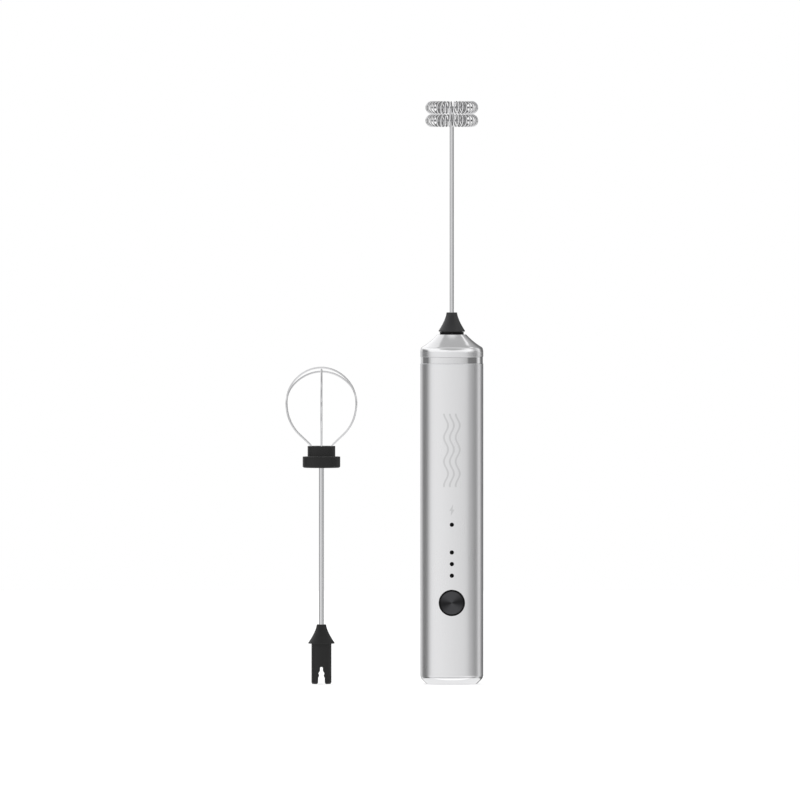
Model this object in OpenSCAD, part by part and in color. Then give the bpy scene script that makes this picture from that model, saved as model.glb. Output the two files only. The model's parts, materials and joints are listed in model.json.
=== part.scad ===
// Handheld milk frother: a rechargeable handle that spins a double-coil whisk, with a second,
// balloon-shaped whisk standing beside it. Millimetres, +Z up. The origin is the centre of the
// handle's base, and the button faces -Y.

/* [Handle] */
// Outside diameter of the handle
handle_d = 28; // [27.8:0.1:28.6]
// Wall of the handle tube
tube_wall = 0.8; // [0.6:0.1:0.8]
// Height of the seam between the base cap and the tube
seam_z = 3.2; // [3:0.1:3.6]
// Height of the tube's upper end
tube_top_z = 142.3; // [141:0.1:150]
// Height of the polished ring above the tube
ring_h = 3; // [2.5:0.1:3.5]
// How far the polished ring lies inside the handle's surface
ring_inset = 0.2; // [0.1:0.05:0.3]

/* [Nose] */
// Height of the nose cap's upright rim
nose_rim_h = 3.8; // [3.6:0.1:4]
// Rise of the cone above the rim
cone_rise = 6.3; // [6:0.1:6.6]
// Radius of the cone's small end
cone_tip_r = 6.4; // [6.2:0.1:6.8]
// How far the cone's side curves in at its middle
cone_hollow = 0.5; // [0:0.1:0.6]

/* [Whisk plug] */
// Diameter of the barrel that goes into the nose
barrel_d = 8.9; // [8.6:0.1:9]
// Length of the barrel
barrel_len = 17.9; // [17.4:0.1:18.4]
// Height of the tapered skirt above the barrel
skirt_h = 8.5; // [7.5:0.1:10]
// Radius of the skirt's foot
skirt_r = 5.85; // [5.6:0.05:6.1]
// Radial clearance of the running fits
running_gap = 0.05; // [0.03:0.01:0.08]

/* [Froth whisk] */
// Diameter of the froth whisk's shaft
froth_shaft_d = 1.85; // [1.6:0.05:2.2]
// Height of the midplane between the two coil rings
coil_mid_z = 253.1; // [245:0.1:262]
// Distance between the two coil rings
coil_pitch = 5.8; // [5.8:0.1:6.4]
// Radius of each coil ring, to the middle of its turns
coil_ring_r = 8.95; // [8.5:0.05:9.5]
// Outside diameter of the spring's turns
coil_d = 5.75; // [5.4:0.05:5.75]
// Diameter of the spring wire
coil_wire_d = 0.58; // [0.5:0.02:0.64]
// Turns in each coil ring
coil_turns = 35; // [30:1:36]

/* [Balloon whisk] */
// Distance from the handle's axis to the balloon whisk's axis
balloon_gap = 57.9; // [45:0.1:70]
// Diameter of the balloon whisk's shaft
balloon_shaft_d = 2.2; // [1.9:0.1:2.4]
// Height of the underside of the hub
hub_z = 96; // [90:0.1:102]
// Radius of the hub's flange
flange_r = 8.35; // [8:0.05:8.8]
// Radius of the hub's upper part
hub_top_r = 6.15; // [6:0.05:6.5]
// Radius of the cage at its widest
cage_r = 17.9; // [17:0.1:19]
// Height from the hub's underside to the cage's widest point
cage_mid = 28.7; // [27.5:0.1:30]
// Height from the hub's underside to the top of the highest loop
cage_top = 44.9; // [44:0.1:46]
// Diameter of the cage wires
cage_wire_d = 0.85; // [0.7:0.05:0.9]

/* [Controls] */
// Height of the button's centre
button_z = 36.3; // [35:0.1:38]
// Diameter of the black bezel around the button
bezel_d = 11.6; // [11.4:0.1:11.8]
// Diameter of the button's face
button_d = 10.2; // [10:0.1:10.3]
// Travel of the button
button_travel = 0.6; // [0.4:0.1:0.6]
// Height of the charge light
charge_light_z = 71; // [69:0.1:73]
// Height of the middle speed light
speed_light_z = 53.55; // [52:0.05:55]
// Distance between the speed lights
light_pitch = 5.15; // [4.8:0.05:5.5]
// Diameter of the light windows
light_d = 1.9; // [1.6:0.1:2.1]
// Height of the charging socket in the back
port_z = 19; // [18.5:0.1:20]

/* [Battery and motor] */
// Diameter of the battery cell
cell_d = 14.2; // [14:0.1:14.2]
// Length of the battery cell
cell_len = 50; // [48:0.5:50]
// Diameter of the motor can
motor_d = 20.4; // [20:0.1:20.6]
// Width of the motor can across its flats
motor_flats = 15.4; // [15:0.1:15.6]
// Length of the motor can
motor_len = 25; // [24:0.1:25]
// Diameter of the motor shaft
motor_shaft_d = 2; // [1.8:0.1:2]

/* [Hidden] */
$fn = 96;

// cut: how far a cutting shape runs past the surface it opens
cut = 1;
handle_r = handle_d / 2;
bore_r = handle_r - tube_wall;
ring_r = handle_r - ring_inset;

// the base cap's rounded edge: a 45 degree chamfer that an arc carries into the tube's side
edge_arc_r = 3.07;
edge_top_z = seam_z + 0.8;
spigot_z = 9;
spigot_wall = 1.3;
pad_r = 9.4;
pad_h = 0.8;
seal_h = 1;
seal_depth = 0.75;

// the inner carrier: two half shells that meet on a plane just behind the circuit board
carrier_r = bore_r - 0.2;
carrier_inner_r = carrier_r - 1.1;
carrier_low_z = spigot_z + 0.2;
carrier_top_z = tube_top_z - 9.7;
plate_t = 1.6;
split_y = -4.4;
board_t = 1.2;
board_face_y = split_y - board_t;
board_w = 16;
board_low_z = 26;
board_high_z = 80;

// screws: the radius of the shank and of the head, and the head's height
m2_r = 1;
m2_head_r = 1.9;
m2_head_h = 1.3;
small_r = 0.8;
small_head_r = 1.5;
board_screw_r = 0.6;
board_head_r = 1.3;

cell_y = 4.4;
cell_z = 27;
tab_t = 0.3;
foam_h = 2.7;

motor_top_z = carrier_top_z - plate_t;
motor_low_z = motor_top_z - motor_len;
can_t = 1;
bell_h = 2.4;
bell_boss_h = 1.6;
boss_r = 3.05;
boss_h = 1.5;
shaft_r = motor_shaft_d / 2;

// the spinning socket in the nose and the plug that sits in it
rim_z = tube_top_z + ring_h;
seat_z = rim_z + nose_rim_h + cone_rise + 1.1;
barrel_r = barrel_d / 2;
hub_bore_r = barrel_r + running_gap;
hub_r = hub_bore_r + 0.8;
hub_floor_z = seat_z - barrel_len - 0.2;
hub_floor_t = 1.6;
hub_boss_h = 2.6;
hub_boss_r = 2.8;
pin_r = 0.9;
notch_z = 4.5;
bush_r = 8;
bush_z = rim_z - 0.8;
bush_h = 4.5;
lip_h = 2;
collar_r = 9.4;
nose_screw_y = 9.8;

// the controls, by their distance from the handle's axis along Y
bezel_r = bezel_d / 2;
button_r = button_d / 2;
bezel_face_y = -handle_r - 0.15;
flange_y = -11.2;
flange_t = 1;
flange_r_out = 6.9;
seal_back_y = -9.4;
face_t = 0.5;
switch_y = -9;
plunger_y = -10;
plunger_r = 1.75;
light_r = light_d / 2;
light_zs = [for (i = [-1, 0, 1]) speed_light_z + i * light_pitch];

port_w = 8.9;
port_h = 3.2;
port_back_y = 4.2;

// the balloon whisk's cage
hub_step_h = 5;
hub_h = 9.7;
leg_r = 5.3;
leg_bury = 3;
cage_mid_z = hub_z + cage_mid;
hub_top_z = hub_z + hub_h;

// ---- helpers ----

// A ring, or a disc where inner is 0, between two heights on the Z axis.
module ring(outer, inner, low, high) {
    translate([0, 0, low])
        difference() {
            cylinder(r = outer, h = high - low);
            if (inner > 0)
                translate([0, 0, -cut])
                    cylinder(r = inner, h = high - low + 2 * cut);
        }
}

// A ring along Y between two places on that axis, centred at x and z.
module ring_y(outer, inner, low, high, x = 0, z = 0) {
    translate([x, 0, z])
        rotate([-90, 0, 0])
            ring(outer, inner, low, high);
}

// A block given by its lowest and highest corners.
module block(low, high) {
    translate(low)
        cube(high - low);
}

// A slot with round ends along X, between two places on the Y axis.
module slot_y(width, height, low, high, z) {
    half = (width - height) / 2;
    for (side = [-half, half])
        ring_y(height / 2, 0, low, high, side, z);
    block([-half, low, z - height / 2], [half, high, z + height / 2]);
}

// The outline of the motor can, wider by grow, between two heights.
module can_shape(grow, low, high) {
    intersection() {
        ring(motor_d / 2 + grow, 0, low, high);
        block(
            [-motor_d, -motor_flats / 2 - grow, low],
            [motor_d, motor_flats / 2 + grow, high]
        );
    }
}

// A pan-head screw along +Z with its head below the joint height z.
module screw(shank, head, head_h, z, length) {
    ring(head, 0, z - head_h, z);
    ring(shank, 0, z, z + length);
}

// A round wire swept along points. Each guide is a direction that its cross-section turns with.
module swept_wire(points, guides, radius, sides) {
    last = len(points) - 1;
    along = [
        for (i = [0 : last]) points[min(i + 1, last)] - points[max(i - 1, 0)]
    ];
    across = [for (i = [0 : last]) unit(cross(along[i], guides[i]))];
    up = [for (i = [0 : last]) unit(cross(across[i], along[i]))];
    rings = [
        for (i = [0 : last], k = [0 : sides - 1])
            points[i] + radius * (cos(360 * k / sides) * up[i] + sin(360 * k / sides) * across[i])
    ];
    skin = [
        for (i = [0 : last - 1], k = [0 : sides - 1])
            let (a = i * sides + k, b = i * sides + (k + 1) % sides)
                each [[a, b, b + sides], [a, b + sides, a + sides]]
    ];
    near_end = [for (k = [sides - 1 : -1 : 0]) k];
    far_end = [for (k = [0 : sides - 1]) last * sides + k];
    polyhedron(points = rings, faces = concat([near_end, far_end], skin));
}

// An insulated lead through the given points, which leave the X direction free.
module lead(points, radius) {
    swept_wire(points, [for (p = points) [1, 0, 0]], radius, 10);
}

function unit(v) = v / norm(v);

function arc(centre, radius, from, to, steps) = [
    for (i = [0 : steps])
        let (a = from + (to - from) * i / steps)
            centre + radius * [cos(a), sin(a)]
];

// ---- handle shell ----

// The rounded lower edge of the handle, from the chamfer's foot up to the straight side.
function lower_edge() = concat(
    [[handle_r - 2.8, 0]],
    arc([handle_r - edge_arc_r, edge_top_z], edge_arc_r, -45, 0, 8)
);

module body_tube() {
    color([0.78, 0.78, 0.79])
        difference() {
            rotate_extrude()
                polygon(concat(
                    [for (p = lower_edge()) if (p.y > seam_z) p],
                    [[handle_r, tube_top_z], [bore_r, tube_top_z], [bore_r, seam_z]],
                    [[handle_r - 0.12, seam_z]]
                ));
            ring_y(bezel_r + 0.05, 0, -handle_r - cut, 0, 0, button_z);
            for (z = concat([charge_light_z], light_zs))
                ring_y(light_r, 0, -handle_r - cut, 0, 0, z);
            slot_y(port_w + 2.6, port_h + 2.6, 0, handle_r + cut, port_z);
        }
}

module base_cap() {
    color([0.85, 0.85, 0.86])
        difference() {
            rotate_extrude()
                polygon(concat(
                    [[0, 0]],
                    [for (p = lower_edge()) if (p.y < seam_z) p],
                    [[handle_r - 0.12, seam_z], [bore_r, seam_z], [bore_r, spigot_z]],
                    [[bore_r - spigot_wall, spigot_z], [bore_r - spigot_wall, seam_z]],
                    [[0, seam_z]]
                ));
            ring(pad_r, 0, -cut, pad_h);
            ring(m2_head_r + 0.1, 0, 0, pad_h + m2_head_h);
            ring(m2_r, 0, 0, spigot_z);
            ring(bore_r + cut, bore_r - seal_depth, 5.6, 5.6 + seal_h);
        }
}

module base_pad() {
    color([0.25, 0.25, 0.26])
        ring(pad_r, 0, 0, pad_h);
}

module base_screw() {
    color("silver")
        screw(m2_r, m2_head_r, m2_head_h, pad_h + m2_head_h, 12);
}

module base_gasket() {
    color([0.15, 0.15, 0.15])
        ring(bore_r, bore_r - seal_depth, 5.6, 5.6 + seal_h);
}

module trim_ring() {
    color([0.9, 0.9, 0.91])
        ring(ring_r, bore_r, tube_top_z, rim_z);
}

// The nose: an upright rim, a rounded shoulder and a cone, with a spigot that goes down into
// the tube, a collar for the bush and the seal, and two bosses for the screws.
module nose_cap() {
    shoulder_z = rim_z + nose_rim_h;
    cone_z = shoulder_z + cone_rise;
    shoulder = arc([handle_r - 1, shoulder_z - 0.4], 1, 0, 50, 5);
    cone_foot = shoulder[len(shoulder) - 1];
    cone_steps = 8;
    cone_side = [
        for (i = [1 : cone_steps])
            let (t = i / cone_steps)
                cone_foot * (1 - t) + [cone_tip_r, cone_z] * t - [0, cone_hollow * 4 * t * (1 - t)]
    ];
    spigot_low_z = carrier_top_z + 2.2;
    color([0.86, 0.86, 0.87])
        difference() {
            union() {
                rotate_extrude()
                    polygon(concat(
                        [[bore_r - 1.2, spigot_low_z], [bore_r, spigot_low_z]],
                        [[bore_r, rim_z], [handle_r, rim_z]],
                        shoulder, cone_side,
                        [[5.6, cone_z], [5.6, rim_z + 1.7]],
                        [[bore_r - 1.2, rim_z + 1.7]]
                    ));
                ring(collar_r, 5.6, bush_z - 1.5, rim_z + 2);
                for (side = [-1, 1])
                    translate([0, side * nose_screw_y, 0])
                        ring(2.3, 0, carrier_top_z, rim_z + 2);
            }
            ring(bush_r, 0, bush_z - 1.6, bush_z + bush_h + lip_h + 0.3);
            for (side = [-1, 1])
                translate([0, side * nose_screw_y, 0])
                    ring(m2_r, 0, carrier_top_z - cut, carrier_top_z + 8);
            ring(bore_r + cut, bore_r - 0.7, spigot_low_z + 3.2, spigot_low_z + 3.2 + seal_h);
        }
}

module nose_oring() {
    low = carrier_top_z + 5.4;
    color([0.15, 0.15, 0.15])
        ring(bore_r, bore_r - 0.7, low, low + seal_h);
}

module nose_bush() {
    color("goldenrod")
        ring(bush_r, hub_r + running_gap, bush_z, bush_z + bush_h);
}

module shaft_seal() {
    low = bush_z + bush_h + 0.2;
    color([0.12, 0.12, 0.12])
        ring(bush_r, hub_r + running_gap, low, low + lip_h);
}

module nose_screws() {
    color("silver")
        for (side = [-1, 1])
            translate([0, side * nose_screw_y, 0])
                screw(m2_r, m2_head_r, m2_head_h, motor_top_z, 9);
}

// ---- inner carrier ----

carrier_screw_places = [
    for (x = [-8.6, 8.6], z = [21, 90]) [x, z]
];

// Everything that both halves of the carrier are cut from.
module carrier_body() {
    intersection() {
        ring(carrier_r, 0, carrier_low_z, carrier_top_z);
        union() {
            ring(carrier_r, carrier_inner_r, carrier_low_z, carrier_top_z);
            ring(carrier_r, 0, carrier_low_z, carrier_low_z + plate_t);
            ring(3, 0, carrier_low_z, carrier_low_z + 5.6);
            ring(carrier_r, 0, motor_top_z, carrier_top_z);
            for (z = [motor_low_z + 4, motor_top_z - 7])
                ring(carrier_r, 0, z, z + 2);
        }
    }
}

// What the motor, its boss and the screws need clear of the carrier.
module carrier_clearance() {
    can_shape(running_gap, motor_low_z - 10, motor_top_z);
    ring(boss_r + 0.1, 0, motor_top_z - cut, carrier_top_z + cut);
    ring(m2_r, 0, 0, carrier_low_z + 7);
    for (side = [-1, 1]) {
        translate([0, side * nose_screw_y, 0])
            ring(m2_r + 0.1, 0, motor_top_z - cut, carrier_top_z + cut);
        translate([0, side * nose_screw_y, 0])
            ring(m2_head_r + 0.2, 0, motor_top_z - 4, motor_top_z);
        translate([side * 5, 0, 0])
            ring(m2_r + 0.1, 0, motor_top_z - cut, carrier_top_z + cut);
    }
}

module carrier_front() {
    far = 2 * handle_r;
    color([0.2, 0.2, 0.21])
        difference() {
            union() {
                carrier_body();
                intersection() {
                    ring(carrier_r, 0, carrier_low_z, carrier_top_z);
                    union() {
                        ring_y(8.2, 0, -far, board_face_y, 0, button_z);
                        for (p = carrier_screw_places)
                            ring_y(2.2, 0, -7, split_y, p[0], p[1]);
                        for (x = [-6.2, 6.2], z = [board_low_z + 3, board_high_z - 3])
                            ring_y(1.7, 0, -far, board_face_y, x, z);
                    }
                }
            }
            carrier_clearance();
            block([-far, split_y, 0], [far, far, 2 * carrier_top_z]);
            block(
                [-board_w / 2 - 0.2, board_face_y, board_low_z - 0.2],
                [board_w / 2 + 0.2, far, board_high_z + 0.2]
            );
            ring_y(5.9, 0, -far, 0, 0, button_z);
            ring_y(7.1, 0, -far, seal_back_y, 0, button_z);
            for (z = concat([charge_light_z], light_zs))
                ring_y(light_r + 0.3, 0, -far, -11, 0, z);
            for (p = carrier_screw_places) {
                ring_y(small_r, 0, -far, 0, p[0], p[1]);
                ring_y(small_head_r + 0.2, 0, -far, -7, p[0], p[1]);
            }
            for (x = [-6.2, 6.2], z = [board_low_z + 3, board_high_z - 3])
                ring_y(board_screw_r, 0, -9.4, 0, x, z);
        }
}

module carrier_rear() {
    far = 2 * handle_r;
    color([0.2, 0.2, 0.21])
        difference() {
            union() {
                carrier_body();
                intersection() {
                    ring(carrier_r, 0, carrier_low_z, carrier_top_z);
                    union() {
                        block([-far, -2, cell_z - 1.8], [far, far, cell_z - tab_t]);
                        block(
                            [-far, -2, cell_z + cell_len + tab_t + foam_h],
                            [far, far, cell_z + cell_len + tab_t + foam_h + plate_t]
                        );
                        for (p = carrier_screw_places) {
                            ring_y(2.2, 0, split_y, 2, p[0], p[1]);
                            block(
                                [p[0] - 1, split_y, p[1] - 1] + [sign(p[0]) * 3, 0, 0],
                                [p[0] + 1, 0, p[1] + 1] + [sign(p[0]) * 3, 0, 0]
                            );
                        }
                        for (side = [-1, 1])
                            ring_y(1.4, 0, port_back_y, far, side * 5, 14.6);
                    }
                }
            }
            carrier_clearance();
            block([-far, -far, 0], [far, split_y, 2 * carrier_top_z]);
            for (p = carrier_screw_places)
                ring_y(small_r, 0, split_y - cut, 1.2, p[0], p[1]);
            slot_y(port_w + 2.8, port_h + 2.8, 0, far, port_z);
        }
}

module carrier_screws() {
    color("silver")
        for (p = carrier_screw_places)
            translate([p[0], 0, p[1]])
                rotate([-90, 0, 0])
                    screw(small_r, small_head_r, 1, -7, 8);
}

// ---- motor, the still parts ----

module motor_can() {
    color("gainsboro")
        difference() {
            union() {
                can_shape(0, motor_low_z, motor_top_z);
                ring(boss_r, 0, motor_top_z, motor_top_z + boss_h);
            }
            can_shape(-can_t, motor_low_z - cut, motor_top_z - can_t);
            ring(2.2, 0, motor_low_z, motor_top_z + boss_h + cut);
            for (side = [-1, 1])
                translate([side * 5, 0, 0])
                    ring(m2_r, 0, motor_top_z - 2 * can_t, motor_top_z + cut);
        }
}

module motor_magnets() {
    color("dimgray")
        intersection() {
            ring(motor_d / 2 - can_t, 7.2, motor_low_z + 5, motor_top_z - 5);
            union()
                for (side = [-1, 1])
                    block(
                        [side * 7.9 - 2.4, -5.4, motor_low_z],
                        [side * 7.9 + 2.4, 5.4, motor_top_z]
                    );
        }
}

module motor_end_bell() {
    color("white")
        difference() {
            union() {
                can_shape(0, motor_low_z - bell_h, motor_low_z);
                ring(boss_r, 0, motor_low_z - bell_h - bell_boss_h, motor_low_z);
            }
            ring(2.2, 0, motor_low_z - bell_h - bell_boss_h + 0.4, motor_low_z + cut);
            ring(shaft_r + 0.2, 0, motor_low_z - 10, motor_low_z);
            for (side = [-1, 1])
                block(
                    [side * 6 - 1.1, -0.25, motor_low_z - bell_h - cut],
                    [side * 6 + 1.1, 0.25, motor_low_z + cut]
                );
        }
}

module motor_bushes() {
    low = motor_low_z - bell_h - bell_boss_h + 0.4;
    color("darkgoldenrod") {
        ring(2.2, shaft_r + running_gap, low, low + 2.4);
        ring(2.2, shaft_r + running_gap, motor_top_z - can_t, motor_top_z + boss_h);
    }
}

module motor_terminals() {
    color("gold")
        for (side = [-1, 1])
            block(
                [side * 6 - 1.1, -0.25, motor_low_z - bell_h - 3],
                [side * 6 + 1.1, 0.25, motor_low_z + 1]
            );
}

module motor_damper() {
    low = motor_low_z + 8;
    color([0.15, 0.15, 0.16])
        difference() {
            can_shape(0.7, low, low + 3);
            can_shape(0, low - cut, low + 3 + cut);
        }
}

module motor_screws() {
    color("silver")
        for (side = [-1, 1])
            translate([side * 5, 0, carrier_top_z])
                mirror([0, 0, 1])
                    screw(m2_r, 1.7, 1, 0, plate_t + 2);
}

module motor_leads() {
    low = motor_low_z - bell_h - 3;
    for (side = [-1, 1])
        color(side < 0 ? "firebrick" : "black")
            lead([
                [side * 3, board_face_y - 0.7, board_high_z - 2],
                [side * 3, board_face_y - 0.7, board_high_z + 12],
                [side * 6, -0.9, low - 2],
                [side * 6, -0.9, low + 2]
            ], 0.6);
}

// ---- battery and circuit ----

module battery_cell() {
    color("seagreen")
        translate([0, cell_y, 0])
            ring(cell_d / 2, 0, cell_z, cell_z + cell_len);
}

module battery_tabs() {
    color("lightgray")
        for (low = [cell_z - tab_t, cell_z + cell_len])
            block([-2.5, split_y, low], [2.5, cell_y + 4, low + tab_t]);
}

module battery_foam() {
    low = cell_z + cell_len + tab_t;
    color("gray")
        translate([0, cell_y, 0])
            ring(6.2, 0, low, low + foam_h);
}

module circuit_board() {
    color("darkgreen")
        difference() {
            block([-board_w / 2, board_face_y, board_low_z], [board_w / 2, split_y, board_high_z]);
            for (x = [-6.2, 6.2], z = [board_low_z + 3, board_high_z - 3])
                ring_y(board_screw_r, 0, -10, 0, x, z);
        }
}

module board_screws() {
    color("silver")
        for (x = [-6.2, 6.2], z = [board_low_z + 3, board_high_z - 3])
            translate([x, 0, z])
                rotate([90, 0, 0])
                    screw(board_screw_r, board_head_r, 0.8, -split_y, 4.2);
}

// The controller, the charger, a power transistor, a coil and a row of small passives.
module board_chips() {
    color([0.1, 0.1, 0.1]) {
        block([-2, split_y, 60], [2, split_y + 1, 65]);
        block([-6, split_y, 40], [-3, split_y + 1, 43]);
        block([3, split_y, 40], [6, split_y + 1, 45]);
        block([-6.5, board_face_y - 1, 62], [-2.5, board_face_y, 66]);
        for (i = [0 : 4])
            block([3.2, board_face_y - 0.5, 60 + 2 * i], [4.8, board_face_y, 60.8 + 2 * i]);
    }
}

module indicator_lights() {
    color("white")
        for (z = concat([charge_light_z], light_zs))
            block([-0.8, board_face_y - 0.6, z - 0.4], [0.8, board_face_y, z + 0.4]);
}

module charge_light_guide() {
    color([0.08, 0.08, 0.08]) {
        ring_y(light_r - 0.03, 0, -handle_r + 0.1, board_face_y - 0.7, 0, charge_light_z);
        ring_y(1.8, 0, -10.6, -9.4, 0, charge_light_z);
    }
}

module speed_light_guide() {
    color([0.08, 0.08, 0.08])
        union() {
            for (z = light_zs)
                ring_y(light_r - 0.03, 0, -handle_r + 0.1, board_face_y - 0.7, 0, z);
            block([-1.4, -10.6, light_zs[0] - 1.6], [1.4, -9.4, light_zs[2] + 1.6]);
        }
}

module switch_body() {
    color("black")
        difference() {
            block([-3.1, switch_y, button_z - 3.1], [3.1, board_face_y, button_z + 3.1]);
            ring_y(plunger_r + running_gap, 0, switch_y - cut, switch_y + 2.2, 0, button_z);
        }
}

module button_bezel() {
    color([0.05, 0.05, 0.05])
        union() {
            ring_y(bezel_r, button_r + running_gap, bezel_face_y, flange_y + flange_t, 0, button_z);
            ring_y(flange_r_out, bezel_r - 0.2, flange_y, flange_y + flange_t, 0, button_z);
        }
}

module button_seal() {
    color([0.15, 0.15, 0.15])
        ring_y(flange_r_out, bezel_r, flange_y + flange_t, seal_back_y, 0, button_z);
}

module charge_board() {
    color("darkgreen")
        block([-6.5, port_back_y - 1, 13.2], [6.5, port_back_y, 24.4]);
}

module charge_port() {
    color("silver")
        difference() {
            slot_y(port_w, port_h, port_back_y, 12.2, port_z);
            slot_y(port_w - 0.6, port_h - 0.6, port_back_y + 1.2, 12.2 + cut, port_z);
        }
}

module port_bezel() {
    color([0.05, 0.05, 0.05])
        intersection() {
            difference() {
                slot_y(port_w + 2.5, port_h + 2.5, 11, handle_r + cut, port_z);
                slot_y(port_w + 0.2, port_h + 0.2, 10, handle_r + 2 * cut, port_z);
            }
            ring(handle_r - 0.05, 0, 0, 2 * port_z);
        }
}

module charge_leads() {
    y = board_face_y + board_t / 2;
    for (side = [-1, 1])
        color(side < 0 ? "firebrick" : "black")
            lead([
                [side * 2, port_back_y - 1, 19],
                [side * 2, -1, 19],
                [side * 2, y, 22.5],
                [side * 2, y, board_low_z]
            ], 0.5);
}

// ---- button ----

module button_face() {
    low = bezel_face_y - 0.1;
    color([0.25, 0.25, 0.26])
        ring_y(button_r, 0, low, low + face_t, 0, button_z);
}

module button_cap() {
    top = bezel_face_y - 0.1 + face_t;
    lip_y = flange_y + flange_t + 0.1;
    color([0.08, 0.08, 0.08])
        union() {
            ring_y(button_r, 0, top, top + 1.2, 0, button_z);
            ring_y(button_r, button_r - 0.6, top, lip_y + 0.8, 0, button_z);
            ring_y(button_r + 0.45, button_r - 0.6, lip_y, lip_y + 0.8, 0, button_z);
            ring_y(1.6, 0, top, plunger_y, 0, button_z);
        }
}

module switch_plunger() {
    color("saddlebrown")
        ring_y(plunger_r, 0, plunger_y, switch_y + 1, 0, button_z);
}

// ---- drive: all that the motor turns ----

module drive_hub() {
    color([0.07, 0.07, 0.07])
        difference() {
            union() {
                ring(hub_r, 0, hub_floor_z - hub_floor_t, seat_z - 0.1);
                ring(hub_boss_r, 0, hub_floor_z - hub_floor_t - hub_boss_h, hub_floor_z);
            }
            ring(hub_bore_r, 0, hub_floor_z, seat_z);
            ring(shaft_r, 0, motor_top_z, hub_floor_z - 0.4);
            ring_pin();
        }
}

// The place of the cross pin that the plug's fork snaps over.
module ring_pin() {
    ring_y(pin_r, 0, -hub_r + 0.1, hub_r - 0.1, 0, seat_z - barrel_len + notch_z);
}

module drive_pin() {
    color("silver")
        ring_pin();
}

module motor_shaft() {
    color("silver")
        ring(shaft_r, 0, motor_low_z - bell_h - 1, hub_floor_z - 0.4);
}

module rotor_core() {
    low = motor_low_z + 7;
    color("slategray")
        difference() {
            ring(6.6, shaft_r, low, low + 10);
            for (i = [0 : 2])
                rotate([0, 0, 60 + 120 * i])
                    block([3, -1, low - cut], [8, 1, low + 10 + cut]);
        }
}

module rotor_coils() {
    low = motor_low_z + 7;
    color("chocolate")
        for (z = [low - 2.4, low + 10])
            ring(5.4, 2.2, z, z + 2.4);
}

module commutator() {
    color("peru")
        ring(2, shaft_r, motor_low_z + 0.4, motor_low_z + 4);
}

// ---- whisk plug, the same on both whisks ----

// Half the width of the fork's slot at each height above its tips: a flared mouth, a tooth
// that snaps over the cross pin, the notch that holds the pin, and a narrow relief above.
fork_slot = [
    [1.95, -1], [1.95, 0], [1.5, 0.6], [1.45, 2.7], [1.05, 3.6], [1.05, 3.95], [1.3, 4.25],
    [1.3, 4.85], [0.95, 5.4], [0.66, 5.8], [0.66, 7.2], [0.3, 7.6]
];

// A plug with its fork's tips at z = 0 and its slot along Y.
module plug(top_r, shaft_r) {
    skirt = [
        for (i = [0 : 10])
            let (t = i / 10)
                [
                    top_r + (skirt_r - top_r) * pow(1 - t, 1.5),
                    barrel_len + 0.4 + (skirt_h - 0.4) * t
                ]
    ];
    far_side = [for (i = [len(fork_slot) - 1 : -1 : 0]) [-fork_slot[i].x, fork_slot[i].y]];
    difference() {
        rotate_extrude()
            polygon(concat(
                [[0, 0], [barrel_r - 0.45, 0], [barrel_r, 0.6], [barrel_r, barrel_len]],
                [[skirt_r, barrel_len]],
                skirt,
                [[0, barrel_len + skirt_h]]
            ));
        translate([0, barrel_r + cut, 0])
            rotate([90, 0, 0])
                linear_extrude(2 * (barrel_r + cut))
                    polygon(concat(fork_slot, far_side));
        ring(shaft_r, 0, barrel_len - 6, barrel_len + skirt_h + cut);
    }
}

// ---- froth whisk ----

module froth_plug() {
    color([0.13, 0.13, 0.13])
        translate([0, 0, seat_z - barrel_len])
            plug(2.35, froth_shaft_d / 2);
}

module froth_shaft() {
    color("silver")
        ring(froth_shaft_d / 2, 0, seat_z - 6, coil_mid_z + coil_pitch / 2 + 0.6);
}

// The two core rings, each with the spoke that ties it to the shaft.
module froth_cores() {
    core_r = 0.45;
    color("silver")
        for (side = [-1, 1])
            translate([0, 0, coil_mid_z + side * coil_pitch / 2])
                difference() {
                    union() {
                        rotate_extrude()
                            translate([coil_ring_r, 0])
                                circle(r = core_r, $fn = 24);
                        ring_y(core_r, 0, 0, coil_ring_r);
                    }
                    ring(froth_shaft_d / 2, 0, -2, 2);
                }
}

// A spring bent into a ring. It leaves a gap at the back, where the spoke passes.
module froth_coil(z) {
    spoke_gap = 12;
    steps_per_turn = 12;
    steps = coil_turns * steps_per_turn;
    turn_r = (coil_d - coil_wire_d) / 2;
    round = [for (i = [0 : steps]) 90 + spoke_gap / 2 + (360 - spoke_gap) * i / steps];
    wind = [for (i = [0 : steps]) 360 * i / steps_per_turn];
    guides = [
        for (i = [0 : steps])
            [cos(wind[i]) * cos(round[i]), cos(wind[i]) * sin(round[i]), sin(wind[i])]
    ];
    points = [
        for (i = [0 : steps])
            coil_ring_r * [cos(round[i]), sin(round[i]), 0] + turn_r * guides[i] + [0, 0, z]
    ];
    swept_wire(points, guides, coil_wire_d / 2, 6);
}

module froth_coil_lower() {
    color("silver")
        froth_coil(coil_mid_z - coil_pitch / 2);
}

module froth_coil_upper() {
    color("silver")
        froth_coil(coil_mid_z + coil_pitch / 2);
}

// ---- balloon whisk ----

module balloon_plug() {
    color([0.13, 0.13, 0.13])
        translate([-balloon_gap, 0, 0])
            plug(2.1, balloon_shaft_d / 2);
}

module balloon_shaft() {
    color("silver")
        translate([-balloon_gap, 0, 0])
            ring(balloon_shaft_d / 2, 0, barrel_len - 6, hub_z + 7);
}

module balloon_hub_base() {
    color([0.15, 0.15, 0.15])
        translate([-balloon_gap, 0, 0])
            difference() {
                rotate_extrude()
                    polygon([
                        [0, hub_z], [flange_r - 0.5, hub_z], [flange_r, hub_z + 0.5],
                        [flange_r, hub_z + hub_step_h - 0.3],
                        [flange_r - 0.3, hub_z + hub_step_h], [0, hub_z + hub_step_h]
                    ]);
                ring(balloon_shaft_d / 2, 0, 0, hub_top_z);
            }
}

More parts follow.
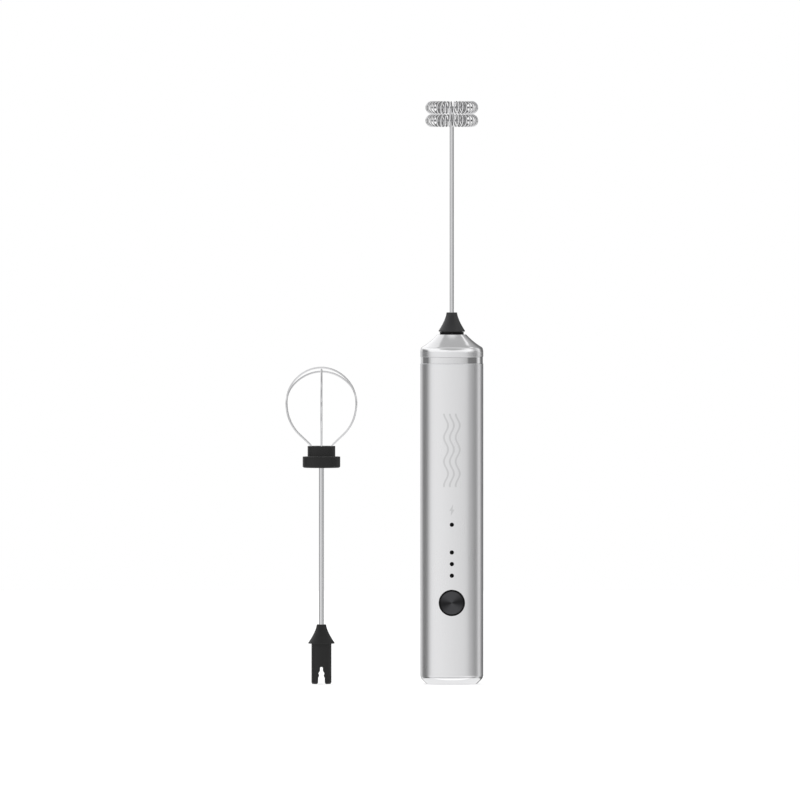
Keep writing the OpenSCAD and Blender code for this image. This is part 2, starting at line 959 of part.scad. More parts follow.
module balloon_hub_top() {
    low = hub_z + hub_step_h;
    color([0.15, 0.15, 0.15])
        translate([-balloon_gap, 0, 0])
            difference() {
                rotate_extrude()
                    polygon([
                        [0, low], [hub_top_r, low], [hub_top_r, hub_top_z - 0.3],
                        [hub_top_r - 0.3, hub_top_z], [0, hub_top_z]
                    ]);
                ring(balloon_shaft_d / 2, 0, 0, hub_z + 7);
                for (a = [30 : 60 : 330])
                    rotate([0, 0, a])
                        translate([leg_r, 0, 0])
                            ring(cage_wire_d / 2 + 0.03, 0, hub_top_z - leg_bury, hub_top_z + cut);
            }
}

// Half of one loop, from the hub up to its top, as [distance from the axis, height]. A straight
// leg runs tangent to the cage's lower circle, and two more arcs close it at the given top.
function loop_half(top_z) =
    let (
        foot = [leg_r, hub_top_z + 0.2] - [0, cage_mid_z],
        touch = atan2(foot.y, foot.x) + acos(cage_r / norm(foot)),
        flatten = (cage_mid_z + cage_r - top_z) / (2 - sqrt(2)),
        side_r = cage_r - flatten,
        top_r = side_r + flatten * sqrt(2)
    )
    concat(
        [[leg_r, hub_top_z - leg_bury + 0.1], [leg_r, hub_top_z - 0.3]],
        [[leg_r + 0.06, hub_top_z + 0.25]],
        arc([0, cage_mid_z], cage_r, touch, 0, 8),
        arc([flatten, cage_mid_z], side_r, 6, 45, 6),
        arc([0, top_z - top_r], top_r, 51, 90, 6)
    );

// A whole loop, turned by angle about the whisk's axis.
module balloon_loop(top_z, angle) {
    half = loop_half(top_z);
    count = len(half);
    outline = concat(
        half,
        [for (i = [count - 2 : -1 : 0]) [-half[i].x, half[i].y]]
    );
    translate([-balloon_gap, 0, 0])
        rotate([0, 0, angle])
            swept_wire(
                [for (p = outline) [p.x, 0, p.y]],
                [for (p = outline) [0, 1, 0]],
                cage_wire_d / 2,
                8
            );
}

module balloon_wire_a() {
    color("silver")
        balloon_loop(hub_z + cage_top - cage_wire_d / 2, 150);
}

module balloon_wire_b() {
    color("silver")
        balloon_loop(hub_z + cage_top - cage_wire_d * 2.5 - 0.1, 30);
}

module balloon_wire_c() {
    color("silver")
        balloon_loop(hub_z + cage_top - cage_wire_d * 1.5 - 0.05, 90);
}

body_tube();
base_cap();
base_pad();
base_screw();
base_gasket();
trim_ring();
nose_cap();
nose_oring();
nose_bush();
shaft_seal();
nose_screws();
carrier_front();
carrier_rear();
carrier_screws();
motor_can();
motor_magnets();
motor_end_bell();
motor_bushes();
motor_terminals();
motor_damper();
motor_screws();
motor_leads();
battery_cell();
battery_tabs();
battery_foam();
circuit_board();
board_screws();
board_chips();
indicator_lights();
charge_light_guide();
speed_light_guide();
switch_body();
button_bezel();
button_seal();
charge_board();
charge_port();
port_bezel();
charge_leads();
button_face();
button_cap();
switch_plunger();
drive_hub();
drive_pin();
motor_shaft();
rotor_core();
rotor_coils();
commutator();
froth_plug();
froth_shaft();
froth_cores();
froth_coil_lower();
froth_coil_upper();
balloon_plug();
balloon_shaft();
balloon_hub_base();
balloon_hub_top();
balloon_wire_a();
balloon_wire_b();
balloon_wire_c();
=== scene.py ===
"""Handheld milk frother: a satin steel handle with a button, lights and a charging socket, a
spinning double-coil whisk in its nose, and a loose balloon whisk that stands beside it.

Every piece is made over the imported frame, in metres, and rides on the frame's own bodies."""

import json
import math

import bmesh
import bpy
from bpy.props import FloatProperty, FloatVectorProperty, IntProperty, PointerProperty
from mathutils import Matrix, Vector


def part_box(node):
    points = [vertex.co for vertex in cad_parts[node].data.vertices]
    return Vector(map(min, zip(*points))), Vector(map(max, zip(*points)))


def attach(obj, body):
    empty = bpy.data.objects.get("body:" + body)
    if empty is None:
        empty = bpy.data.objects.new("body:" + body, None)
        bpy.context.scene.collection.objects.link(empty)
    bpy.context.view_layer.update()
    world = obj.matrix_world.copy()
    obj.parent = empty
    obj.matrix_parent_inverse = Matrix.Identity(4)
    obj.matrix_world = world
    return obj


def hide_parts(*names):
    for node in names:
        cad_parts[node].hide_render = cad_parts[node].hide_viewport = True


bl_info = {
    "name": "Milk Frother",
    "version": (1, 0, 0),
    "blender": (4, 5, 0),
    "location": "3D View > Sidebar > Frother",
    "description": "Builds a handheld milk frother with its two whisks over its packed frame",
    "category": "Object",
}

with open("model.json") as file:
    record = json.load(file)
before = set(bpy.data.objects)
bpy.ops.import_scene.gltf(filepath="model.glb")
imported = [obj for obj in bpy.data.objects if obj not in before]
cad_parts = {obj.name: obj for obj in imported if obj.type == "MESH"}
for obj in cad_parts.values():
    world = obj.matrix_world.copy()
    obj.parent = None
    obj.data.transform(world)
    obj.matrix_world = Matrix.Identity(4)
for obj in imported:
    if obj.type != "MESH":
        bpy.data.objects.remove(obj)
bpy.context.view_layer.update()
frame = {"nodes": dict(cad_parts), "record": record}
MM = 0.001
TURN = 2 * math.pi
FRONT = Matrix.Rotation(math.pi / 2, 4, "X")  # turns local +Z to the front, -Y


def size(node):
    """The lowest corner, highest corner and middle of a CAD node."""
    low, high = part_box(node)
    return low, high, (low + high) / 2


TUBE_LOW, TUBE_HIGH, _ = size("body_tube")
HANDLE_R = TUBE_HIGH.x


# ---- sizes and colours that a user would change ----


def length(name, text, default):
    """A length property in metres."""
    return FloatProperty(
        name=name, description=text, default=default, min=0, precision=5, unit="LENGTH"
    )


def colour(name, text, default):
    """A colour property."""
    return FloatVectorProperty(
        name=name, description=text, default=default, size=3, min=0, max=1, subtype="COLOR"
    )


class FrotherHandleSizes(bpy.types.PropertyGroup):
    """Sizes of the handle's visible detail."""

    wall: length("Tube wall", "Thickness of the handle tube", 0.8 * MM)
    edge: length("Edge rounding", "Rounding of the metal parts' edges", 0.12 * MM)
    foot_radius: length("Foot edge radius", "Radius of the handle's rounded lower edge", 3.07 * MM)
    cone_hollow: length("Cone hollow", "How far the nose cone curves in at its middle", 0.38 * MM)
    light_r: length("Light window radius", "Radius of each light window", 0.92 * MM)
    dish: length("Button dish", "Depth of the shallow dish in the button", 0.1 * MM)
    light_pitch: length("Speed light spacing", "Distance between the speed lights", 5.15 * MM)
    mark_pitch: length("Mark spacing", "Distance between the etched wavy lines", 2.6 * MM)
    mark_low: length("Mark foot", "Height where the etched wavy lines start", 88 * MM)
    mark_high: length("Mark head", "Height where the etched wavy lines end", 120 * MM)


class FrotherWhiskSizes(bpy.types.PropertyGroup):
    """Sizes of the two whisks."""

    turns: IntProperty(name="Coil turns", description="Turns in each coil", default=35, min=8)
    coil_wire: length("Coil wire", "Diameter of the coil springs' wire", 0.58 * MM)
    coil_d: length("Coil width", "Outside diameter of the springs' turns", 5.75 * MM)
    spoke_gap: FloatProperty(
        name="Spoke gap",
        description="Gap in each coil for the spoke behind it",
        default=math.radians(12),
        subtype="ANGLE",
    )
    core_wire: length("Core wire", "Diameter of the rings inside the coils", 0.9 * MM)
    cage_wire: length("Cage wire", "Diameter of the balloon whisk's wires", 0.78 * MM)


class FrotherColours(bpy.types.PropertyGroup):
    """Colours of the visible finishes."""

    satin: colour("Satin steel", "Handle tube", (0.84, 0.84, 0.85))
    polished: colour("Polished metal", "Ring, nose and base", (0.83, 0.83, 0.84))
    wire: colour("Whisk steel", "Whisk shafts", (0.74, 0.74, 0.75))
    spring: colour("Spring steel", "Coil springs", (0.82, 0.82, 0.83))
    cage: colour("Cage steel", "Balloon cage wires", (0.64, 0.64, 0.65))
    # painted shade: the core wires are given a much darker steel than the other whisk wires, for
    # the shade inside the coils
    core: colour("Core steel with painted shade", "Wires inside the coils", (0.3, 0.3, 0.31))
    black: colour("Black plastic", "Bezels, charging socket and drive hub", (0.003, 0.003, 0.003))
    hub: colour("Hub plastic", "Balloon whisk's hub and plug", (0.014, 0.014, 0.014))
    plug: colour("Plug plastic", "Froth whisk's plug", (0.014, 0.014, 0.015))
    button: colour("Button", "Spun metal button", (0.085, 0.085, 0.09))


class FrotherStudio(bpy.types.PropertyGroup):
    """Camera and light."""

    distance: length("Camera distance", "From the aim point to the camera", 10.0)
    lens: FloatProperty(
        name="Lens", description="Focal length", default=1013.2, min=20, subtype="DISTANCE_CAMERA"
    )
    tilt: FloatProperty(
        name="Camera tilt",
        description="Height angle of the camera above the aim point",
        default=math.radians(1),
        subtype="ANGLE",
    )
    aim_x: FloatProperty(name="Aim", description="Sideways aim", default=-0.023, unit="LENGTH")
    aim_z: length("Aim height", "Height of the aim point", 0.1261)
    floor_r: length("Floor radius", "Radius of the pale floor", 1.6)
    floor_glow: FloatProperty(
        name="Floor glow", description="Light that the floor adds of its own", default=0.46, min=0
    )


FINISHES = {}  # the finishes by the record's slot names, made once

GROUPS = {
    "frother_handle": FrotherHandleSizes,
    "frother_whisks": FrotherWhiskSizes,
    "frother_colours": FrotherColours,
    "frother_studio": FrotherStudio,
}


# ---- node trees ----


def node(tree, kind, inputs=None, **settings):
    """Adds one node. Each input is a value or the socket that feeds it."""
    made = tree.nodes.new(kind)
    for key, value in settings.items():
        setattr(made, key, value)
    for key, value in (inputs or {}).items():
        if isinstance(value, bpy.types.NodeSocket):
            tree.links.new(value, made.inputs[key])
        else:
            made.inputs[key].default_value = value
    return made


def calc(tree, operation, *values):
    """The output of a Math node."""
    return node(tree, "ShaderNodeMath", dict(enumerate(values)), operation=operation).outputs[0]


def product(tree, *values):
    """Values multiplied together."""
    total = values[0]
    for value in values[1:]:
        total = calc(tree, "MULTIPLY", total, value)
    return total


def vector_calc(tree, operation, *values, output="Vector"):
    """The output of a Vector Math node."""
    inputs = dict(enumerate(values))
    return node(tree, "ShaderNodeVectorMath", inputs, operation=operation).outputs[output]


def split(tree, vector):
    """The X, Y and Z of a vector."""
    return node(tree, "ShaderNodeSeparateXYZ", {0: vector}).outputs


def join(tree, *parts):
    """A vector from its X, Y and Z."""
    return node(tree, "ShaderNodeCombineXYZ", dict(enumerate(parts))).outputs[0]


def remap(tree, value, low, high, to_low, to_high, kind="LINEAR"):
    """A value in one range carried over to another."""
    inputs = {0: value, 1: low, 2: high, 3: to_low, 4: to_high}
    return node(tree, "ShaderNodeMapRange", inputs, interpolation_type=kind).outputs[0]


def ease(tree, value, low, high, to_low=0, to_high=1):
    """A value in one range carried over to another, with soft ends."""
    return remap(tree, value, low, high, to_low, to_high, "SMOOTHSTEP")


def mix(tree, factor, first, second):
    """Two colours mixed by a factor."""
    mixer = node(tree, "ShaderNodeMix", {0: factor, 6: first, 7: second}, data_type="RGBA")
    return mixer.outputs[2]


def object_place(tree, scale=None):
    """The place on the object, stretched along X, Y and Z by the scale."""
    place = node(tree, "ShaderNodeTexCoord").outputs["Object"]
    if scale is None:
        return place
    return node(tree, "ShaderNodeMapping", {"Vector": place, "Scale": scale}).outputs[0]


def noise(tree, place, detail=3):
    """Noise whose grains are about 1 across."""
    inputs = {"Vector": place, "Scale": 1, "Detail": detail}
    return node(tree, "ShaderNodeTexNoise", inputs).outputs[0]


def grain(tree, scale, detail=3):
    """Noise whose scale differs along X, Y and Z, so that it makes streaks or specks."""
    return noise(tree, object_place(tree, scale), detail)


def carried(tree, label):
    """A value that the points of a wire carry under a name."""
    return node(tree, "ShaderNodeAttribute", attribute_name=label).outputs["Fac"]


def rgba(rgb, level=1.0):
    """A colour with its alpha, made lighter or darker."""
    return tuple(min(1.0, c * level) for c in rgb) + (1.0,)


def grey(level):
    """A grey with its alpha."""
    return (level, level, level, 1)


def tint(tree, tone, rgb, spread):
    """A colour that the tone makes darker or lighter by up to the spread."""
    return mix(tree, tone, rgba(rgb, 1 - spread), rgba(rgb, 1 + spread))


# ---- finishes ----

SHINE = "Specular IOR Level"  # the shader's socket for how much a plastic shines


def blank_finish(name, **constants):
    """A new material, its tree and its shader, with the shader's constant values set."""
    material = bpy.data.materials.new(name)
    material.use_nodes = True
    tree = material.node_tree
    tree.nodes.clear()
    shader = node(tree, "ShaderNodeBsdfPrincipled", constants)
    output = node(tree, "ShaderNodeOutputMaterial")
    tree.links.new(shader.outputs[0], output.inputs[0])
    return material, tree, shader


def dress(tree, shader, colours, rough, height, relief):
    """Links a finish's colour and roughness, and bumps from a height where it has relief."""
    tree.links.new(colours, shader.inputs["Base Color"])
    tree.links.new(rough, shader.inputs["Roughness"])
    if relief:
        inputs = {"Height": height, "Distance": relief, "Strength": 1}
        bumps = node(tree, "ShaderNodeBump", inputs).outputs[0]
        tree.links.new(bumps, shader.inputs["Normal"])


def plain_finish(name, rgb, rough, scale, relief, spread, metal=0.0, detail=3, **more):
    """A finish with grain: its colour varies by spread, its roughness between two values, and
    its relief stands that high."""
    material, tree, shader = blank_finish(name, Metallic=metal, **more)
    fine = grain(tree, scale, detail)
    broad = calc(tree, "MULTIPLY", grain(tree, (90, 90, 90), 2), 0.4)
    tone = calc(tree, "MULTIPLY_ADD", fine, 0.6, broad)
    colours = tint(tree, remap(tree, tone, 0.3, 0.7, 0, 1), rgb, spread)
    dress(tree, shader, colours, remap(tree, tone, 0.3, 0.7, *rough), fine, relief)
    return material


WAVE_LENGTH, WAVE_SWAY = 10.7 * MM, 0.9 * MM  # the etched lines, crest to crest and sideways
BOLT_Z, BOLT_HALF = 77.4 * MM, 2.6 * MM  # the etched bolt's middle, and half its height


def bolt_half(tree, across, up):
    """1 inside the upper half of a lightning bolt, which is a slanted triangle."""
    low = calc(tree, "GREATER_THAN", up, -0.12)
    right = calc(tree, "LESS_THAN", across, calc(tree, "MULTIPLY_ADD", up, 0.09, 0.11))
    left = calc(tree, "GREATER_THAN", across, calc(tree, "MULTIPLY_ADD", up, 0.58, -0.38))
    return product(tree, low, right, left)


def etched_marks(tree):
    """1 where the handle is etched: three wavy lines, and a small bolt by the charge light."""
    sizes = bpy.context.scene.frother_handle
    x, y, z = split(tree, object_place(tree))
    sway = calc(tree, "SINE", calc(tree, "MULTIPLY", z, TURN / WAVE_LENGTH))
    lane = calc(tree, "MULTIPLY_ADD", sway, WAVE_SWAY, x)
    lane = calc(tree, "ADD", calc(tree, "DIVIDE", lane, sizes.mark_pitch), 0.5)
    off = calc(tree, "ABSOLUTE", calc(tree, "SUBTRACT", calc(tree, "FRACT", lane), 0.5))
    line = ease(tree, off, 0.13, 0.19, 1, 0)
    three = calc(tree, "COMPARE", calc(tree, "FLOOR", lane), 0, 1.1)
    middle = (sizes.mark_low + sizes.mark_high) / 2
    reach = (sizes.mark_high - sizes.mark_low) / 2
    beyond = calc(tree, "ABSOLUTE", calc(tree, "SUBTRACT", z, middle))
    waves = product(tree, line, three, ease(tree, beyond, reach, reach + 0.5 * MM, 1, 0))
    across = calc(tree, "DIVIDE", x, BOLT_HALF)
    up = calc(tree, "DIVIDE", calc(tree, "SUBTRACT", z, BOLT_Z), BOLT_HALF)
    halves = [
        bolt_half(tree, calc(tree, "MULTIPLY", across, side), calc(tree, "MULTIPLY", up, side))
        for side in (1, -1)
    ]
    marks = calc(tree, "MAXIMUM", waves, calc(tree, "MAXIMUM", *halves))
    return calc(tree, "MULTIPLY", marks, calc(tree, "LESS_THAN", y, 0))


def satin_steel():
    """Steel tube with a fine lengthwise grain and faint etched marks."""
    material, tree, shader = blank_finish("Satin steel", Metallic=1.0)
    rgb = bpy.context.scene.frother_colours.satin
    tone = remap(tree, grain(tree, (9000, 9000, 110), 4), 0.25, 0.75, 0, 1)
    etched = etched_marks(tree)
    steel = tint(tree, tone, rgb, 0.012)
    colours = mix(tree, calc(tree, "MULTIPLY", etched, 0.4), steel, rgba(rgb, 0.55))
    worn = calc(tree, "MULTIPLY_ADD", tone, 0.25, grain(tree, (60, 60, 25), 2))
    rough = calc(tree, "MULTIPLY_ADD", etched, 0.06, remap(tree, worn, 0.35, 0.9, 0.27, 0.29))
    dress(tree, shader, colours, rough, calc(tree, "MULTIPLY_ADD", etched, -12, tone), 1.2e-8)
    return material


def polished_metal(name, smooth, dull):
    """Bright turned metal with the faintest turning lines."""
    material, tree, shader = blank_finish(name, Metallic=1.0)
    lines = grain(tree, (40, 40, 14000))
    cloud = grain(tree, (150, 150, 150))
    tone = remap(tree, calc(tree, "ADD", lines, cloud), 0.7, 1.3, 0, 1)
    colours = tint(tree, tone, bpy.context.scene.frother_colours.polished, 0.015)
    dress(tree, shader, colours, remap(tree, tone, 0, 1, smooth, dull), lines, 1e-7)
    return material


def whisk_steel(name, rgb, shade=0.0):
    """Drawn wire and rod with fine lines along its length, from its own wire coordinates. The side
    that faces into a coil gets painted shade, darker by up to the shade."""
    material, tree, shader = blank_finish(name, Metallic=1.0)
    around = calc(tree, "MULTIPLY", carried(tree, "around"), 14)
    along = calc(tree, "MULTIPLY", carried(tree, "along"), 160)
    drawn = noise(tree, join(tree, around, along))
    cloud = grain(tree, (150, 150, 60), 2)
    tone = remap(tree, calc(tree, "ADD", drawn, cloud), 0.7, 1.3, 0, 1)
    colours = tint(tree, tone, rgb, 0.03)
    if shade:
        # painted shade: the wire's side that faces into its coil is darkened in colour
        painted_shade_depth = remap(tree, carried(tree, "inside"), -0.42, 0.12, 0, shade)
        colours = mix(tree, painted_shade_depth, colours, rgba(rgb, 0.1))
    dress(tree, shader, colours, remap(tree, tone, 0, 1, 0.1, 0.16), drawn, 1e-7)
    return material


# painted reflection: the button's colour is darkened in two wedges, left and right, as its spun
# metal would mirror the dark sides of the studio
PAINTED_FAN_TURN = math.radians(8)  # the button's dark wedges lie this much off level


def button_metal():
    """Dark anodised metal spun in rings, whose shine fans out from the middle, with painted
    reflection: two dark wedges in its colour.
    """
    material, tree, shader = blank_finish("Button metal", Metallic=1.0, Anisotropic=0.85)
    rgb = bpy.context.scene.frother_colours.button
    middle = tuple(size("button_face")[2])
    centred = vector_calc(tree, "SUBTRACT", object_place(tree), middle)
    outwards = vector_calc(tree, "MULTIPLY", centred, (1, 0, 1))
    spoke_way = vector_calc(tree, "NORMALIZE", outwards)
    painted_wedge_way = (math.cos(PAINTED_FAN_TURN), 0, math.sin(PAINTED_FAN_TURN))
    level = vector_calc(tree, "DOT_PRODUCT", spoke_way, painted_wedge_way, output="Value")
    painted_wedge = calc(tree, "MULTIPLY", calc(tree, "POWER", calc(tree, "ABSOLUTE", level), 4), 0.74)
    reach = vector_calc(tree, "LENGTH", outwards, output="Value")
    rings = node(
        tree,
        "ShaderNodeTexNoise",
        {"W": calc(tree, "MULTIPLY", reach, 9000), "Scale": 1, "Detail": 3},
        noise_dimensions="1D",
    ).outputs[0]
    colours = tint(tree, remap(tree, rings, 0.3, 0.7, 0, 1), rgb, 0.2)
    # painted reflection: the colour darkens towards black in the two wedges
    colours = mix(tree, painted_wedge, colours, rgba(rgb, 0.02))
    dress(tree, shader, colours, remap(tree, rings, 0.3, 0.7, 0.38, 0.46), rings, 4e-7)
    tangent = node(
        tree,
        "ShaderNodeVectorTransform",
        {0: spoke_way},
        vector_type="VECTOR",
        convert_from="OBJECT",
        convert_to="WORLD",
    )
    tree.links.new(tangent.outputs[0], shader.inputs["Tangent"])
    return material


def circuit_board():
    """Green solder mask with fine tracks."""
    material, tree, shader = blank_finish("Circuit board", Metallic=0.0)
    inputs = {"Vector": object_place(tree, (900, 900, 420)), "Scale": 1}
    tracks = node(tree, "ShaderNodeTexVoronoi", inputs, distance="CHEBYCHEV").outputs[0]
    line = ease(tree, tracks, 0.42, 0.5)
    colours = mix(tree, line, (0.01, 0.09, 0.03, 1), (0.03, 0.2, 0.07, 1))
    dress(tree, shader, colours, remap(tree, line, 0, 1, 0.25, 0.4), line, 3e-5)
    return material


def copper_wire():
    """Enamelled windings, with a ridge for each turn of wire."""
    material, tree, shader = blank_finish("Copper wire", Metallic=1.0)
    inputs = {"Vector": object_place(tree), "Scale": 1300, "Distortion": 1.5, "Detail": 1}
    ridges = node(tree, "ShaderNodeTexWave", inputs, bands_direction="Z").outputs[1]
    colours = mix(tree, ridges, (0.25, 0.08, 0.03, 1), (0.8, 0.38, 0.2, 1))
    dress(tree, shader, colours, remap(tree, ridges, 0, 1, 0.35, 0.22), ridges, 8e-5)
    return material


def battery_wrap():
    """Shrink wrap with a pale band round one end."""
    material, tree, shader = blank_finish("Battery wrap", **{"Coat Weight": 0.3})
    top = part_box("battery_cell")[1].z
    height = split(tree, object_place(tree))[2]
    band = ease(tree, height, top - 7 * MM, top - 6.5 * MM)
    crinkle = grain(tree, (900, 900, 300))
    wrap = mix(tree, crinkle, (0.05, 0.24, 0.13, 1), (0.08, 0.33, 0.18, 1))
    colours = mix(tree, band, wrap, (0.75, 0.75, 0.72, 1))
    dress(tree, shader, colours, remap(tree, crinkle, 0, 1, 0.2, 0.34), crinkle, 2e-5)
    return material


def make_finishes():
    """All the finishes by the record's slot names."""
    colours = bpy.context.scene.frother_colours
    speck, fine, turned_lines = (5200, 5200, 5200), (2600, 2600, 2600), (200, 200, 9000)
    made = {
        "satin_steel": satin_steel(),
        "polished_metal": polished_metal("Polished metal", 0.07, 0.12),
        "nose_metal": polished_metal("Nose metal", 0.13, 0.18),
        "whisk_steel": whisk_steel("Whisk steel", colours.wire),
        "cage_steel": whisk_steel("Cage steel", colours.cage),
        # the core steel is a darker copy of the whisk steel, painted shade for the wires inside the
        # coils
        "core_steel": whisk_steel("Core steel with painted shade", colours.core),
        # the spring steel carries painted shade on the side of each turn that faces into the coil
        "spring_steel": whisk_steel("Spring steel", colours.spring, 0.88),
        "button_metal": button_metal(),
        "circuit_board": circuit_board(),
        "copper_wire": copper_wire(),
        "battery_wrap": battery_wrap(),
    }
    # the slot, colour, roughness, grain, relief, spread of the colour, and the rest
    for slot, rgb, rough, scale, relief, spread, more in (
        ("black_plastic", colours.black, (0.3, 0.4), speck, 3e-6, 0.12, {"detail": 2, SHINE: 0.12}),
        ("plug_plastic", colours.plug, (0.36, 0.46), speck, 5e-6, 0.12, {"detail": 2}),
        ("hub_plastic", colours.hub, (0.4, 0.5), speck, 5e-6, 0.12, {"detail": 2, SHINE: 0.22}),
        ("white_plastic", (0.78, 0.78, 0.75), (0.38, 0.5), speck, 4e-6, 0.04, {}),
        ("lead_insulation", (0.3, 0.03, 0.03), (0.4, 0.5), fine, 4e-6, 0.15, {}),
        ("rubber", (0.03, 0.03, 0.031), (0.68, 0.82), speck, 1.2e-5, 0.2, {}),
        ("light_window", (0.0015, 0.0015, 0.0015), (0.05, 0.11), fine, 5e-7, 0.2, {SHINE: 0.06}),
        ("plated_steel", (0.66, 0.66, 0.67), (0.2, 0.34), fine, 1e-6, 0.05, {"metal": 1.0}),
        ("dark_steel", (0.14, 0.14, 0.15), (0.45, 0.62), turned_lines, 6e-6, 0.2, {"metal": 1.0}),
        ("brass", (0.72, 0.5, 0.22), (0.24, 0.36), turned_lines, 1e-6, 0.08, {"metal": 1.0}),
    ):
        name = slot.replace("_", " ").capitalize()
        made[slot] = plain_finish(name, rgb, rough, scale, relief, spread, **more)
    return made


def finish_of(slot):
    """The finish for a slot, made with all the others the first time."""
    if not FINISHES:
        FINISHES.update(make_finishes())
    return FINISHES[slot]


# ---- turned parts ----


def unit(vector):
    """A 2-D vector of length 1."""
    return vector / max(vector.length, 1e-12)


def outward(step):
    """The outward side of an outline that runs anticlockwise."""
    return Vector((step.y, -step.x))


def rounded(corners, closed=False):
    """An outline's points, each with the way it faces. A corner is (radius, height, rounding);
    a corner with no rounding lies on a smooth curve."""
    spots = [Vector(c[:2]) for c in corners]
    count = len(spots)
    outline = []
    for i, (spot, corner) in enumerate(zip(spots, corners)):
        rounding = corner[2] if len(corner) > 2 else 0
        has_before, has_after = closed or i > 0, closed or i < count - 1
        before = unit(spot - spots[i - 1]) if has_before else None
        after = unit(spots[(i + 1) % count] - spot) if has_after else None
        before, after = before or after, after or before
        first, last = outward(before), outward(after)
        bend = first.angle_signed(last) * -1
        if not rounding or abs(bend) < 1e-3:
            outline.append((spot, unit(first + last)))
            continue
        side = 1 if bend > 0 else -1
        start = spot - before * rounding * math.tan(abs(bend) / 2)
        centre = start - first * rounding * side
        steps = max(2, math.ceil(abs(bend) / math.radians(15)))
        for k in range(steps + 1):
            angle = bend * k / steps
            facing = Vector(
                (
                    first.x * math.cos(angle) - first.y * math.sin(angle),
                    first.x * math.sin(angle) + first.y * math.cos(angle),
                )
            )
            outline.append((centre + facing * rounding * side, facing))
    return outline


def turned_mesh(name, outline, place=Matrix(), closed=False, sides=128):
    """An outline turned about its axis, with the exact normals of its surface."""
    spots, facings, rings, faces = [], [], [], []
    for spot, facing in outline:
        on_axis = spot.x < 1e-7
        ring = []
        for k in range(1 if on_axis else sides):
            angle = TURN * k / sides
            c, s = math.cos(angle), math.sin(angle)
            ring.append(len(spots))
            spots.append(place @ Vector((spot.x * c, spot.x * s, spot.y)))
            way = (0, 0, facing.y) if on_axis else (facing.x * c, facing.x * s, facing.y)
            facings.append((place.to_3x3() @ Vector(way)).normalized())
        rings.append(ring)
    if closed:
        rings.append(rings[0])
    for low, high in zip(rings, rings[1:]):
        if len(low) == 1 and len(high) == 1:
            continue
        for k in range(sides):
            n = (k + 1) % sides
            if len(low) == 1:
                faces.append((low[0], high[n], high[k]))
            elif len(high) == 1:
                faces.append((low[k], low[n], high[0]))
            else:
                faces.append((low[k], low[n], high[n], high[k]))
    mesh = bpy.data.meshes.new(name)
    mesh.from_pydata(spots, [], faces)
    mesh.shade_smooth()
    mesh.normals_split_custom_set([facings[loop.vertex_index] for loop in mesh.loops])
    return mesh


def add_object(name, mesh):
    """A new object for a mesh."""
    made = bpy.data.objects.new(name, mesh)
    bpy.context.scene.collection.objects.link(made)
    return made


def turned_object(name, outline, place=Matrix(), closed=False, sides=128):
    """A new object for an outline turned about its axis."""
    return add_object(name, turned_mesh(name, outline, place, closed, sides))


def plain_mesh(made):
    """Takes an object's modifiers into a plain mesh."""
    bpy.context.view_layer.update()
    graph = bpy.context.evaluated_depsgraph_get()
    mesh = bpy.data.meshes.new_from_object(
        made.evaluated_get(graph), preserve_all_data_layers=True, depsgraph=graph
    )
    made.modifiers.clear()
    made.data = mesh


def cut(made, cutters):
    """Cuts the cutters' shapes out of an object, and removes them."""
    for cutter in cutters:
        boolean = made.modifiers.new("Cut", "BOOLEAN")
        boolean.operation, boolean.solver, boolean.object = "DIFFERENCE", "EXACT", cutter
    plain_mesh(made)
    for cutter in cutters:
        bpy.data.objects.remove(cutter)


def restore_normals(made, outline, place=Matrix(), closed=False):
    """Gives a cut turned part the exact normals of its outline again. The cut faces stay flat."""
    back = place.inverted()
    turn = place.to_3x3()
    mesh = made.data
    pairs = list(zip(outline, outline[1:] + (outline[:1] if closed else [])))
    normals = [None] * len(mesh.loops)
    for face in mesh.polygons:
        flat = face.normal.copy()
        for index in face.loop_indices:
            spot = back @ mesh.vertices[mesh.loops[index].vertex_index].co
            reach = math.hypot(spot.x, spot.y)
            here = Vector((reach, spot.z))
            best, facing = 2e-5, None
            for (a, way_a), (b, way_b) in pairs:
                step = b - a
                t = max(0.0, min(1.0, (here - a).dot(step) / max(step.length_squared, 1e-16)))
                gap = (a + step * t - here).length
                if gap < best:
                    way = way_a.lerp(way_b, t)
                    spread = Vector((spot.x, spot.y, 0)) / max(reach, 1e-9)
                    real = (turn @ (spread * way.x + Vector((0, 0, way.y)))).normalized()
                    if real.dot(flat) > 0.85:
                        best, facing = gap, real
            normals[index] = facing or flat
    mesh.shade_smooth()
    mesh.normals_split_custom_set(normals)


def finish_piece(made, slot, body, *nodes, finish=None):
    """Gives a piece its finish, and fixes it to its CAD body in place of its CAD nodes. The
    whisks are kept out of the handle's mirror reflections."""
    made.data.materials.clear()
    made.data.materials.append(finish_of(finish or slot))
    for face in made.data.polygons:
        face.material_index = 0
    if nodes:
        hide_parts(*nodes)
    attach(made, body)
    made.visible_glossy = not body.endswith("whisk")
    return made


def turned_piece(
    name, corners, slot, body, nodes, place=Matrix(), closed=False, sides=128, finish=None
):
    """A whole turned piece."""
    made = turned_object(name, rounded(corners, closed), place, closed, sides)
    return finish_piece(made, slot, body, *nodes, finish=finish)


def keep_mesh(name, maker):
    """A mesh of what a mesh maker holds."""
    mesh = bpy.data.meshes.new(name)
    maker.to_mesh(mesh)
    maker.free()
    return mesh


def skinned(name, rings, capped):
    """A skin over rings of points, whose ends are capped or joined to each other."""
    maker = bmesh.new()
    loops = [[maker.verts.new(spot) for spot in ring] for ring in rings]
    if capped:
        maker.faces.new(loops[0])
        maker.faces.new(list(reversed(loops[-1])))
    for near, far in zip(loops, loops[1:] if capped else loops[1:] + loops[:1]):
        for k in range(len(near)):
            n = (k + 1) % len(near)
            maker.faces.new((near[n], near[k], far[k], far[n]))
    bmesh.ops.recalc_face_normals(maker, faces=maker.faces)
    return add_object(name, keep_mesh(name, maker))


